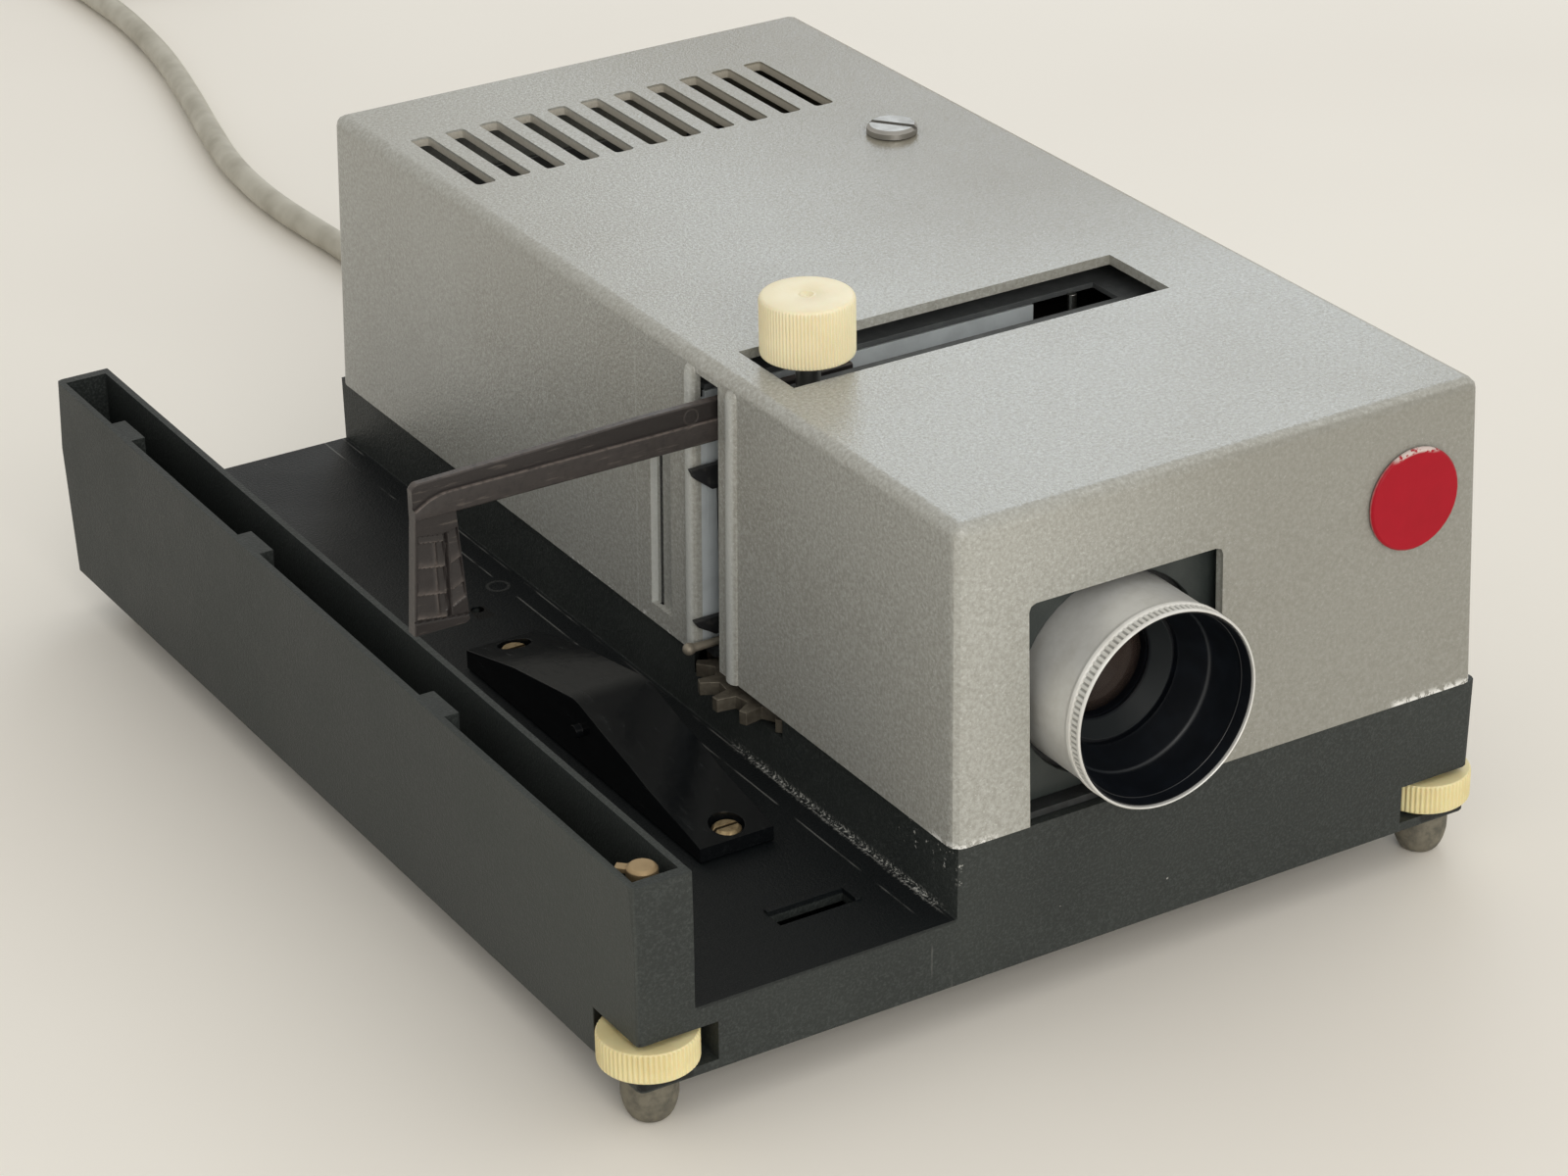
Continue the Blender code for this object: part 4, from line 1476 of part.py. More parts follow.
def coil_points(start):
    """The put-away cord: a flat spiral in, a climb at its inner turn, and a spiral out."""
    centre = start + (COIL_OUTER_RADIUS, COIL_LEAD, 0)
    turns = COIL_TURNS
    count = turns * COIL_POINTS_PER_TURN
    time = np.linspace(0, turns, count + 1)
    radius = COIL_OUTER_RADIUS - COIL_PITCH * np.minimum(time, turns - time)
    climb = np.clip((time - (turns / 2 - 0.25)) / 0.5, 0, 1)
    height = COIL_LAYER_RISE * climb * climb * (3 - 2 * climb)
    angle = math.pi - math.tau * time
    turn_points = centre + np.column_stack((radius * np.cos(angle), radius * np.sin(angle),
                                            height))
    leaving = turn_points[-1] + np.array((0, 1, 0)) * np.linspace(
        COIL_EXIT_LEAD / 4, COIL_EXIT_LEAD, 4)[:, None]
    return np.vstack((start, turn_points, leaving))


def least_gap(points, diameter, skip):
    """The smallest gap between stretches of one cord that lie apart along it."""
    least = math.inf
    for i in range(len(points) - skip):
        distance = np.linalg.norm(points[i + skip:] - points[i], axis=1).min()
        least = min(least, distance - diameter)
    return least


def build_cord():
    """The mains cord from its gland along the floor, its coil and its flat plug."""
    first = build_gland()
    route = np.vstack((first, CORD_ROUTE))
    points = smooth_route(route, CORD_SPACING)
    cable("mains_cord", points, CORD_RADIUS, "cord_grey")
    coil = coil_points(points[-1] + (0, GAP, 0))
    cable("cord_coil", coil, CORD_RADIUS, "cord_grey", 1)
    print("least gap in the coil, mm",
          round(1000 * least_gap(coil, 2 * CORD_RADIUS, COIL_POINTS_PER_TURN // 2), 3))
    entry = coil[-1] + (0, GAP, 0)
    profile = [(0, 0)]
    for along, share in PLUG_SHARES:
        profile.append((share, along * PLUG_LENGTH))
    profile.append((0, PLUG_LENGTH))
    body = turned(profile, (0, 0, 0), "Y", HIDDEN_STEPS)
    bmesh.ops.scale(body, vec=(PLUG_HALF_WIDTH, 1, PLUG_HALF_HEIGHT), verts=body.verts)
    plug = make("mains_plug", body, "rubber", True)
    plug.location = entry
    pins = bmesh.new()
    for side in (-1, 1):
        rod(PLUG_PIN_RADIUS, PLUG_LENGTH - OVERRUN, PLUG_LENGTH + PLUG_PIN_LENGTH,
            (side * PLUG_PIN_SPACING / 2, 0, 0), "Y", 12, pins)
    join(plug, pins, "pins")
    plug.modifiers["pins"].object.location = entry


clear_scene()
build_base()
build_bottom()
for foot_side, (foot_x, foot_y) in zip(("left", "right"), FOOT_PLACES):
    build_front_foot(foot_side, foot_x, foot_y)
build_shell()
build_badge_and_cover_screw()
build_chassis()
build_lens()
build_gate()
build_changer()
build_index()
build_catch()
build_ramp()
build_light()
build_power()
build_switch()
build_cord()
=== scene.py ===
import json
import math

import bmesh
import bpy
import numpy as np
from mathutils import Matrix, Vector

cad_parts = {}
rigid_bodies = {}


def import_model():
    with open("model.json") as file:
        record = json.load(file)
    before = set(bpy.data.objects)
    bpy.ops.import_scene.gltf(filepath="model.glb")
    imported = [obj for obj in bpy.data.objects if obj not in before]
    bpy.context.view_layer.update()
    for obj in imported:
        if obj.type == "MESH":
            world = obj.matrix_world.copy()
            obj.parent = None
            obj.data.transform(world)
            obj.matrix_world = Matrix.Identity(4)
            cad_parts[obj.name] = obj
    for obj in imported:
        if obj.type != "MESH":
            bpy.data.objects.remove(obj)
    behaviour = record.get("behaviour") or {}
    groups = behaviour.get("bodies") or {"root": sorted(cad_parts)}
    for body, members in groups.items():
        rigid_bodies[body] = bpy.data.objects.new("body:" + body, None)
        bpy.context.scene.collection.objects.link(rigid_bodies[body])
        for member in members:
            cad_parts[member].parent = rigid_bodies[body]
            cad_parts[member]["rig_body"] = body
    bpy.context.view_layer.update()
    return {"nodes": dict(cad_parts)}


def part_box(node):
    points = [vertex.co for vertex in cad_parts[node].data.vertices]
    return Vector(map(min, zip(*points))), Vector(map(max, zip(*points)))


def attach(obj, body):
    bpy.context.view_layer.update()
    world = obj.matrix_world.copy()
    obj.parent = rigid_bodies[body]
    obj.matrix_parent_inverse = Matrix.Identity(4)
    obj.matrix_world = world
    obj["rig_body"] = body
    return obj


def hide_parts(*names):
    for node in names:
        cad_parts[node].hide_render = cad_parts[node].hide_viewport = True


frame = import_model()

nodes = frame["nodes"]

# The photograph's camera. It looked down on the projector's left front corner from a metre
# away, through a long lens, and was turned by one degree.
CAMERA_PLACE = Vector((-0.43162, -0.73291, 0.46737))
CAMERA_AZIMUTH = math.radians(-31.066)
CAMERA_ELEVATION = math.radians(26.900)
CAMERA_ROLL = math.radians(-1.004)
back = Vector((math.sin(CAMERA_AZIMUTH) * math.cos(CAMERA_ELEVATION),
               -math.cos(CAMERA_AZIMUTH) * math.cos(CAMERA_ELEVATION),
               math.sin(CAMERA_ELEVATION)))
level = (-back).cross(Vector((0, 0, 1))).normalized()
upward = level.cross(-back)
side = math.cos(CAMERA_ROLL) * level + math.sin(CAMERA_ROLL) * upward
upward = math.cos(CAMERA_ROLL) * upward - math.sin(CAMERA_ROLL) * level
camera = bpy.data.objects.new("camera", bpy.data.cameras.new("camera"))
camera.data.lens = 100.94
camera.data.sensor_width = 36
camera.data.clip_start = 0.05
camera.data.clip_end = 50
camera.matrix_world = Matrix.Translation(CAMERA_PLACE) @ Matrix(
    (side, upward, back)).transposed().to_4x4()
bpy.context.collection.objects.link(camera)
bpy.context.scene.camera = camera
bpy.context.scene.view_settings.view_transform = "Standard"


# Short ways to write a material as sums and products of patterns, and a mesh as a grid.
class Value:
    """One output of a node, so that sums and products of patterns can be written plainly."""

    def __init__(self, finish, socket):
        self.finish = finish
        self.socket = socket

    def __add__(self, other):
        return self.finish.maths("ADD", self, other)

    __radd__ = __add__

    def __sub__(self, other):
        return self.finish.maths("SUBTRACT", self, other)

    def __rsub__(self, other):
        return self.finish.maths("SUBTRACT", other, self)

    def __mul__(self, other):
        return self.finish.maths("MULTIPLY", self, other)

    __rmul__ = __mul__

    def __pow__(self, other):
        return self.finish.maths("POWER", self, other)

    def __abs__(self):
        return self.finish.maths("ABSOLUTE", self)

    def rise(self, low, high):
        """0 below low, 1 above high, and a smooth slope between them."""
        return self.finish.node("ShaderNodeMapRange", {"interpolation_type": "SMOOTHSTEP"},
                                {0: self, 1: low, 2: high, 3: 0.0, 4: 1.0})

    def band(self, middle, half, soft):
        """1 within half of middle, falling to 0 over soft on either side."""
        return 1 - abs(self - middle).rise(half, half + soft)


class Finish:
    """A material. Its node method adds any node, and the rest are short names for common ones."""

    def __init__(self, name, colour=(0.5, 0.5, 0.5), roughness=0.5, metallic=0.0, **fixed):
        self.material = bpy.data.materials.new(name)
        self.material.use_nodes = True
        self.tree = self.material.node_tree
        self.shader = self.tree.nodes["Principled BSDF"]
        self.set("Base Color", (*colour[:3], 1.0))
        self.set("Roughness", roughness)
        self.set("Metallic", metallic)
        for socket, value in fixed.items():
            self.set(socket.replace("_", " "), value)

    def node(self, kind, settings=None, values=None, output=0):
        """Adds a node with its settings, then gives its sockets their values or links."""
        made = self.tree.nodes.new(kind)
        for name, setting in (settings or {}).items():
            setattr(made, name, setting)
        for name, value in (values or {}).items():
            if isinstance(value, Value):
                self.tree.links.new(value.socket, made.inputs[name])
            else:
                made.inputs[name].default_value = value
        return Value(self, made.outputs[output])

    def set(self, name, value):
        """Gives a socket of the shader a value or a link."""
        if isinstance(value, Value):
            self.tree.links.new(value.socket, self.shader.inputs[name])
        else:
            self.shader.inputs[name].default_value = value

    def maths(self, operation, first, second=0.0):
        """One sum, product or power of two values."""
        return self.node("ShaderNodeMath", {"operation": operation}, {0: first, 1: second})

    def place(self):
        """Where a point of the surface is, in metres, in the part's own frame."""
        return self.node("ShaderNodeTexCoord", output="Object")

    def along(self, axis):
        """One coordinate of that place: 0 across, 1 back and 2 up."""
        return self.node("ShaderNodeSeparateXYZ", None, {0: self.place()}, axis)

    def cloud(self, size, detail=2.0, roughness=0.5, stretch=(1, 1, 1)):
        """Noise from 0 to 1 with lumps about size metres across, drawn out by stretch."""
        place = self.node("ShaderNodeMapping", None, {
            "Vector": self.place(), "Scale": tuple(1 / (size * s) for s in stretch)})
        return self.node("ShaderNodeTexNoise", {"noise_dimensions": "3D"}, {
            "Vector": place, "Scale": 1.0, "Detail": detail, "Roughness": roughness})

    def cells(self, size):
        """Distance to the nearest of many scattered points about size metres apart."""
        place = self.node("ShaderNodeMapping", None, {
            "Vector": self.place(), "Scale": (1 / size, 1 / size, 1 / size)})
        return self.node("ShaderNodeTexVoronoi", {"feature": "F1"},
                         {"Vector": place, "Scale": 1.0})

    def blend(self, share, first, second):
        """A colour between two colours."""
        first, second = (c if isinstance(c, Value) else (*c[:3], 1.0) for c in (first, second))
        return self.node("ShaderNodeMix", {"data_type": "RGBA"},
                         {0: share, 6: first, 7: second}, 2)

    def relief(self, height, depth):
        """Turns the surface's normal by a height from 0 to 1 that stands for depth metres."""
        self.set("Normal", self.node("ShaderNodeBump", None, {
            "Height": height, "Distance": depth, "Strength": 1.0}))


def tone(red, green, blue):
    """A colour as seen on a screen, from 0 to 255, as the light it reflects."""
    return tuple(((c / 255 + 0.055) / 1.055) ** 2.4 for c in (red, green, blue))


def surface(name, grid, material, ends="closed", crease=35):
    """A mesh over a grid of points, its rows along the piece and its columns round it.

    Each point joins the next one in its row, the last joins the first, and every row joins the
    next. The ends are closed by a fan about their middle, or joined as in a ring. The sum of
    (a x b) . c over the faces is six times the volume, and its sign turns them outwards.
    """
    grid = np.asarray(grid, float)
    rows, columns = grid.shape[:2]
    index = np.arange(rows * columns).reshape(rows, columns)
    if ends == "ring":
        index = np.vstack((index, index[:1]))
    beside = np.roll(index, -1, axis=1)
    points = grid.reshape(-1, 3)
    quads = np.stack((index[:-1], beside[:-1], beside[1:], index[1:]), -1).reshape(-1, 4)
    fans = np.zeros((0, 3), int)
    if ends == "closed":
        middles = np.arange(2)[:, None] + len(points)
        points = np.vstack((points, grid[0].mean(0), grid[-1].mean(0)))
        fans = np.vstack((
            np.column_stack((beside[0], index[0], np.repeat(middles[0], columns))),
            np.column_stack((index[-1], beside[-1], np.repeat(middles[1], columns)))))
    sides = np.vstack((quads[:, [0, 1, 2]], quads[:, [0, 2, 3]], fans))
    a, b, c = (points[sides[:, k]] - points.mean(0) for k in range(3))
    if (np.cross(a, b) * c).sum() < 0:
        quads, fans = quads[:, ::-1], fans[:, ::-1]
    mesh = bpy.data.meshes.new(name)
    mesh.from_pydata(points.tolist(), [], quads.tolist() + fans.tolist())
    mesh.shade_smooth()
    mesh.set_sharp_from_angle(angle=math.radians(crease))
    mesh.materials.append(material.material)
    piece = bpy.data.objects.new(name, mesh)
    bpy.context.collection.objects.link(piece)
    return piece


# The table it stands on, a big sheet of off-white laminate, and the light of the room: pale
# walls all round, a little brighter to the right, and a window behind the projector to the
# right that shines on its top. A view, a reflection and a glass see the walls as one grey.
WALLS_LIGHT, WALLS_SLOPE = 0.74, 0.22
laminate = Finish("table_laminate", roughness=0.6, Specular_IOR_Level=0.25)
laminate.set("Base Color", laminate.blend(
    laminate.cloud(0.35, 3).rise(0.3, 0.75), tone(245, 241, 232), tone(240, 235, 226)))
table_mesh = bpy.data.meshes.new("table")
table_mesh.from_pydata([(-4, -4, 0), (4, -4, 0), (4, 4, 0), (-4, 4, 0)], [], [(0, 1, 2, 3)])
table_mesh.materials.append(laminate.material)
table = bpy.data.objects.new("table", table_mesh)
bpy.context.collection.objects.link(table)

world = bpy.data.worlds.new("room")
bpy.context.scene.world = world
world.use_nodes = True
room = world.node_tree
rays = room.nodes.new("ShaderNodeLightPath")
walls = room.nodes["Background"]
walls.inputs["Color"].default_value = (1.0, 0.985, 0.955, 1)
towards = room.nodes.new("ShaderNodeTexCoord")
parts = room.nodes.new("ShaderNodeSeparateXYZ")
fairness = room.nodes.new("ShaderNodeMath")
fairness.operation = "MULTIPLY_ADD"
fairness.inputs[1].default_value = WALLS_SLOPE
fairness.inputs[2].default_value = WALLS_LIGHT
room.links.new(towards.outputs["Generated"], parts.inputs[0])
room.links.new(parts.outputs[0], fairness.inputs[0])
room.links.new(fairness.outputs[0], walls.inputs["Strength"])
seen = room.nodes.new("ShaderNodeBackground")
seen.inputs["Color"].default_value = (*tone(222, 219, 212), 1)
choice = room.nodes.new("ShaderNodeMixShader")
straight = None
for ray in ("Is Camera Ray", "Is Glossy Ray", "Is Transmission Ray"):
    kind = rays.outputs[ray]
    if straight:
        either = room.nodes.new("ShaderNodeMath")
        either.operation = "MAXIMUM"
        room.links.new(straight, either.inputs[0])
        room.links.new(kind, either.inputs[1])
        kind = either.outputs[0]
    straight = kind
room.links.new(straight, choice.inputs[0])
room.links.new(walls.outputs[0], choice.inputs[1])
room.links.new(seen.outputs[0], choice.inputs[2])
room.links.new(choice.outputs[0], room.nodes["World Output"].inputs["Surface"])


def lamp(name, place, aim, size, watts, colour):
    """A soft square lamp that shines from place towards aim."""
    light = bpy.data.lights.new(name, "AREA")
    light.shape = "RECTANGLE"
    light.size, light.size_y = size
    light.energy = watts
    light.color = colour
    shine = bpy.data.objects.new(name, light)
    shine.location = place
    shine.rotation_euler = (Vector(aim) - Vector(place)).to_track_quat("-Z", "Y").to_euler()
    bpy.context.collection.objects.link(shine)


lamp("window", (0.80, 0.97, 0.68), (0, 0, 0.08), (0.5, 0.36), 1.5, (0.78, 0.89, 1.0))
lamp("room_light", (-0.45, -1.9, 0.9), (0, 0, 0.05), (1.2, 1.2), 15, (1.0, 0.97, 0.92))


# The mains cord with its strain relief and plug: a round lead in pale grey soft plastic. The
# far part that the photograph doesn't show lies wound in a flat coil beside its plug.
CORD_RADIUS = 0.0035
CORD_EXIT = (0.04785, 0.171715, 0.0258)
CORD_ROUTE = (
    (0.04785, 0.1790, 0.02560), (0.04790, 0.1900, 0.02300), (0.04800, 0.2060, 0.01500),
    (0.04800, 0.2220, 0.00740), (0.04790, 0.2370, 0.00385), (0.04770, 0.2560, 0.00385),
    (0.04720, 0.2790, 0.00385), (0.04630, 0.3010, 0.00385), (0.04520, 0.3200, 0.00385),
    (0.04520, 0.3420, 0.00385), (0.04800, 0.3690, 0.00385), (0.05400, 0.3970, 0.00385),
    (0.06200, 0.4300, 0.00385), (0.06900, 0.4640, 0.00385), (0.07300, 0.4970, 0.00385),
    (0.07380, 0.5200, 0.00385), (0.07380, 0.5480, 0.00385), (0.07380, 0.5770, 0.00385))
COIL_TURNS = 6
COIL_RADIUS = 0.0505
COIL_PITCH = 0.0076
COIL_RISE = 0.0076
TAIL_LENGTH = 0.031


def flowing(points, spacing):
    """Points at a steady spacing on the smooth curve through the given ones.

    Each stretch is the cubic through its two points whose slopes are those of the chords
    between their neighbours, worked out for all stretches at once, then spaced by length.
    """
    points = np.asarray(points, float)
    ends = np.vstack((2 * points[0] - points[1], points, 2 * points[-1] - points[-2]))
    p0, p1, p2, p3 = (ends[k:len(ends) - 3 + k, None] for k in range(4))
    t = np.linspace(0, 1, 12, endpoint=False)[None, :, None]
    fine = 0.5 * (2 * p1 + (p2 - p0) * t + (2 * p0 - 5 * p1 + 4 * p2 - p3) * t ** 2
                  + (3 * p1 - p0 - 3 * p2 + p3) * t ** 3)
    fine = np.vstack((fine.reshape(-1, 3), points[-1]))
    lengths = np.concatenate(([0], np.cumsum(np.linalg.norm(np.diff(fine, axis=0), axis=1))))
    places = np.linspace(0, lengths[-1], max(2, round(lengths[-1] / spacing)) + 1)
    return np.column_stack([np.interp(places, lengths, fine[:, k]) for k in range(3)])


def coiled(start):
    """The put-away lead: radius falls by a pitch a turn, climbs one layer, and grows again."""
    centre = start + np.array((COIL_RADIUS, 0.0060, 0))
    time = np.linspace(0, COIL_TURNS, COIL_TURNS * 24 + 1)
    radius = COIL_RADIUS - COIL_PITCH * np.minimum(time, COIL_TURNS - time)
    climb = np.clip((time - (COIL_TURNS / 2 - 0.25)) / 0.5, 0, 1)
    height = COIL_RISE * climb * climb * (3 - 2 * climb)
    angle = math.pi - math.tau * time
    turns = centre + np.column_stack((radius * np.cos(angle), radius * np.sin(angle), height))
    tail = np.linspace(TAIL_LENGTH / 4, TAIL_LENGTH, 4)[:, None]
    return np.vstack((turns, turns[-1] + np.array((0, 1, 0)) * tail))


def tube(name, path, radius, sides, material):
    """A round lead along path: at each point a circle across the line, level to one side."""
    slope = np.gradient(path, axis=0)
    slope /= np.linalg.norm(slope, axis=1)[:, None]
    across = np.cross(slope, (0, 0, 1.0))
    across /= np.linalg.norm(across, axis=1)[:, None]
    over = np.cross(across, slope)
    turn = np.linspace(0, math.tau, sides, endpoint=False)[None, :, None]
    ring = np.cos(turn) * across[:, None] + np.sin(turn) * over[:, None]
    return surface(name, path[:, None] + radius * ring, material)


def lathe(name, profile, centre, axis, around, material, ends="closed", ribs=0, depth=0.0,
          sharp=1.0, crease=35):
    """A turned piece: a profile of (radius, height) carried round an axis.

    A profile's row may have a third number, a share by which ribs cut into it there. Ribs take
    depth * share * (0.5 + 0.5 cos(ribs * angle)) ** sharp off the radius.
    """
    rows = np.array([(*row, 0.0)[:3] for row in profile])
    angle = np.linspace(0, math.tau, around, endpoint=False)
    wave = (0.5 + 0.5 * np.cos(ribs * angle)) ** sharp if ribs else np.zeros(around)
    radius = rows[:, :1] - depth * rows[:, 2:] * wave
    height = np.repeat(rows[:, 1:2], around, axis=1)
    u, v = radius * np.cos(angle), radius * np.sin(angle)
    grid = np.stack({"Z": (u, v, height), "Y": (u, height, v)}[axis], -1)
    return surface(name, grid + np.array(centre), material, ends, crease)


lead_plastic = Finish("cord_plastic", roughness=0.42)
dirt = lead_plastic.cloud(0.012, 3).rise(0.35, 0.8)
lead_plastic.set("Base Color", lead_plastic.blend(dirt, tone(186, 182, 168), tone(158, 153, 138)))
lead_plastic.set("Roughness", 0.38 + 0.15 * dirt)
lead_plastic.relief(lead_plastic.cloud(0.0016, 2), 0.00004)
soft_rubber = Finish("soft_rubber", roughness=0.7)
soft_rubber.set("Base Color", soft_rubber.blend(
    soft_rubber.cloud(0.004, 4).rise(0.3, 0.7), tone(120, 112, 98), tone(98, 92, 82)))
soft_rubber.relief(soft_rubber.cloud(0.0009, 3), 0.00008)
pin_brass = Finish("plug_pin_brass", tone(196, 170, 120), 0.3, 1.0)
pin_brass.relief(pin_brass.cloud(0.0008, 2), 0.00002)

route = flowing(np.vstack((CORD_EXIT, CORD_ROUTE)), 0.0118)
cord_path = flowing(np.vstack((route, coiled(route[-1] + (0, 0.0003, 0)))), 0.0035)
cord = tube("mains_lead", cord_path, CORD_RADIUS, 14, lead_plastic)
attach(cord, "projector")
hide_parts("mains_cord", "cord_coil")

GLAND_WIDE, GLAND_NARROW, GLAND_LENGTH = 0.0058, 0.0046, 0.0300
GLAND_RINGS, RING_DEPTH = 9, 0.00035
gland_z = np.linspace(0, 1, 34)
gland_rings = np.where((gland_z * GLAND_RINGS) % 1 < 0.45, RING_DEPTH, 0.0) * (gland_z > 0.05)
gland_radius = GLAND_WIDE + (GLAND_NARROW - GLAND_WIDE) * gland_z - gland_rings
gland_rows = [(0.0001, 0.1297), (GLAND_WIDE, 0.1297), (GLAND_WIDE, 0.1394), (0.0079, 0.1394),
              (0.0082, 0.1397), (0.0082, 0.1411), (0.0079, 0.1414)]
gland_rows += list(zip(gland_radius, 0.1414 + GLAND_LENGTH * gland_z))
gland_rows += [(0.0001, 0.1714)]
gland = lathe("cord_strain_relief", gland_rows, (CORD_EXIT[0], 0, CORD_EXIT[2]), "Y", 36,
              soft_rubber)
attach(gland, "projector")
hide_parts("cord_gland")

plug_low, plug_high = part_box("mains_plug")
PLUG_ROWS = np.array((
    (0.0, 0.30), (0.0, 0.50), (0.08, 0.54), (0.16, 0.60), (0.24, 0.66), (0.30, 0.72),
    (0.34, 0.70), (0.38, 0.80), (0.42, 0.77), (0.46, 0.90), (0.50, 0.88), (0.54, 0.98),
    (0.60, 1.0), (0.80, 1.0), (0.94, 1.0), (0.985, 0.97), (1.0, 0.92), (1.0, 0.5)))
PLUG_HALF_WIDTH, PLUG_HALF_HEIGHT, PLUG_LENGTH = 0.0168, 0.0106, 0.0380
PIN_ROWS = ((0.0001, 0.0370), (0.0024, 0.0370), (0.0024, 0.0555), (0.0021, 0.0566),
            (0.0011, 0.0570), (0.0001, 0.0570))
plug_x, plug_z = (plug_low.x + plug_high.x) / 2, (plug_low.z + plug_high.z) / 2


def plug_form():
    """The plug's body: each row is a share of the curve |x| ** 3.2 + |z| ** 3.2 = 1."""
    angle = np.linspace(0, math.tau, 40, endpoint=False)
    reach = (abs(np.cos(angle)) ** 3.2 + abs(np.sin(angle)) ** 3.2) ** (-1 / 3.2)
    share = PLUG_ROWS[:, 1:2] * reach
    return np.stack((
        plug_x + PLUG_HALF_WIDTH * share * np.cos(angle),
        plug_low.y + PLUG_LENGTH * np.repeat(PLUG_ROWS[:, :1], len(angle), axis=1),
        plug_z + PLUG_HALF_HEIGHT * share * np.sin(angle)), -1)


plug = surface("plug_body", plug_form(), soft_rubber, crease=50)
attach(plug, "projector")
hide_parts("mains_plug")
pins = []
for label, shift in (("left", -0.0095), ("right", 0.0095)):
    pins.append(lathe("plug_pin_" + label, [(r, plug_low.y + h) for r, h in PIN_ROWS],
                      (plug_x + shift, 0, plug_z), "Y", 20, pin_brass))
    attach(pins[-1], "projector")


# The solids that keep their form: their triangles join to flat faces, and their sharp edges
# are rounded.
MERGE_DISTANCE = 2e-6
FLAT_ANGLE, EDGE_ANGLE = math.radians(1.0), math.radians(28)


def eased(node, radius, material, crease=40):
    """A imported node's copy with its triangles merged, its edges rounded and a new material."""
    mesh = bpy.data.meshes.new(node + "_piece")
    form = bmesh.new()
    form.from_mesh(nodes[node].data)
    bmesh.ops.remove_doubles(form, verts=form.verts, dist=MERGE_DISTANCE)
    bmesh.ops.dissolve_limit(form, angle_limit=FLAT_ANGLE, verts=form.verts, edges=form.edges)
    form.to_mesh(mesh)
    form.free()
    mesh.shade_smooth()
    mesh.materials.clear()
    mesh.materials.append(material.material)
    piece = bpy.data.objects.new(node + "_piece", mesh)
    bpy.context.collection.objects.link(piece)
    if radius:
        rounding = piece.modifiers.new("rounded edges", "BEVEL")
        rounding.width = radius
        rounding.segments = 2
        rounding.limit_method = "ANGLE"
        rounding.angle_limit = EDGE_ANGLE
        rounding.miter_outer = "MITER_ARC"
        even = piece.modifiers.new("even shading", "WEIGHTED_NORMAL")
        even.mode = "FACE_AREA"
        even.keep_sharp = True
    else:
        mesh.set_sharp_from_angle(angle=math.radians(crease))
    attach(piece, nodes[node]["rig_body"])
    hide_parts(node)


# The base: one casting with a tray floor on the left, a hollow outer wall and a deeper box
# under the cover, sprayed in a dark green-black enamel with a fine grain. Its marks are a
# worn line along the step's foot, chips at the front corner, two rub lines and a ring. Painted
# shade darkens the back, the channel, the two front pockets and a square hole in the floor,
# and painted light brightens the front of the outer wall.
STEP_X, SEAT_Z, TRAY_Z = -0.02785, 0.0408, 0.0252
WALL_OUTSIDE, FRONT_LIP = -0.099, -0.1256
CHANNEL_MIDDLE, CHANNEL_HALF = -0.0573, 0.0288
POCKET_MIDDLE, POCKET_HALF, POCKET_FRONT, POCKET_BACK = 0.0930, 0.0056, -0.1254, -0.1060
POCKET_BOTTOM, POCKET_TOP = 0.0102, 0.0210
RUB_LINE_PLACES = (-0.0336, -0.0289)
RING_X, RING_Y, RING_RADIUS = -0.0347, 0.0495, 0.0024
HOLE_X, HOLE_Y = -0.0440, 0.0400
enamel = Finish("base_enamel", roughness=0.5, Specular_IOR_Level=0.30)
x, y, z = (enamel.along(k) for k in range(3))
grain = enamel.cloud(0.0006, 3, 0.65)
wide = enamel.cloud(0.03, 3).rise(0.3, 0.8)
dust = enamel.cloud(0.0016, 4, 0.7).rise(0.62, 0.74)
body_colour = enamel.blend(wide, tone(43, 47, 46), tone(51, 55, 53))
# Painted shade: the enamel is painted darker towards the back.
body_colour = enamel.blend(y.rise(-0.02, 0.12) * 0.62, body_colour, tone(30, 34, 33))
# Painted light: the front part of the outer left wall is painted lighter.
left_wall_painted_light = (1 - (x - WALL_OUTSIDE).rise(0.0, 0.0004)) * (1 - y.rise(-0.12, -0.02))
body_colour = enamel.blend(left_wall_painted_light * 0.20, body_colour, tone(84, 88, 82))
body_colour = enamel.blend(grain.rise(0.42, 0.74) * 0.40, body_colour, tone(86, 91, 89))
# Painted shade: the channel's floor and inner walls are painted nearly black.
channel_painted_shade = x.band(CHANNEL_MIDDLE, CHANNEL_HALF, 0.0006) * (y - FRONT_LIP).rise(0.0, 0.0004) \
    * (z - TRAY_Z + 0.0008).rise(0.0, 0.0004)
body_colour = enamel.blend(channel_painted_shade * 0.92, body_colour, tone(2, 9, 13))
# Painted shade: the two pockets in front, where the thumb wheels sit, are painted nearly black.
pocket_painted_shade = abs(x).band(POCKET_MIDDLE, POCKET_HALF, 0.0004) \
    * (y - POCKET_FRONT).rise(0.0, 0.0004) * (1 - (y - POCKET_BACK).rise(0.0, 0.0010)) \
    * (z - POCKET_BOTTOM).rise(0.0, 0.0003) * (1 - (z - POCKET_TOP).rise(0.0, 0.0006))
body_colour = enamel.blend(pocket_painted_shade * 0.9, body_colour, tone(8, 10, 11))
on_floor = 1 - (z - TRAY_Z).rise(0.0001, 0.0004)
rub_lines = enamel.cloud(0.011, 2).rise(0.40, 0.62) * on_floor \
    * (y - FRONT_LIP).rise(0.0, 0.0004)
rub_lines = rub_lines * enamel.maths(
    "MAXIMUM", *((x - place).band(0, 0.00010, 0.00016) for place in RUB_LINE_PLACES))
speck = enamel.cells(0.0050).rise(0.05, 0.09)
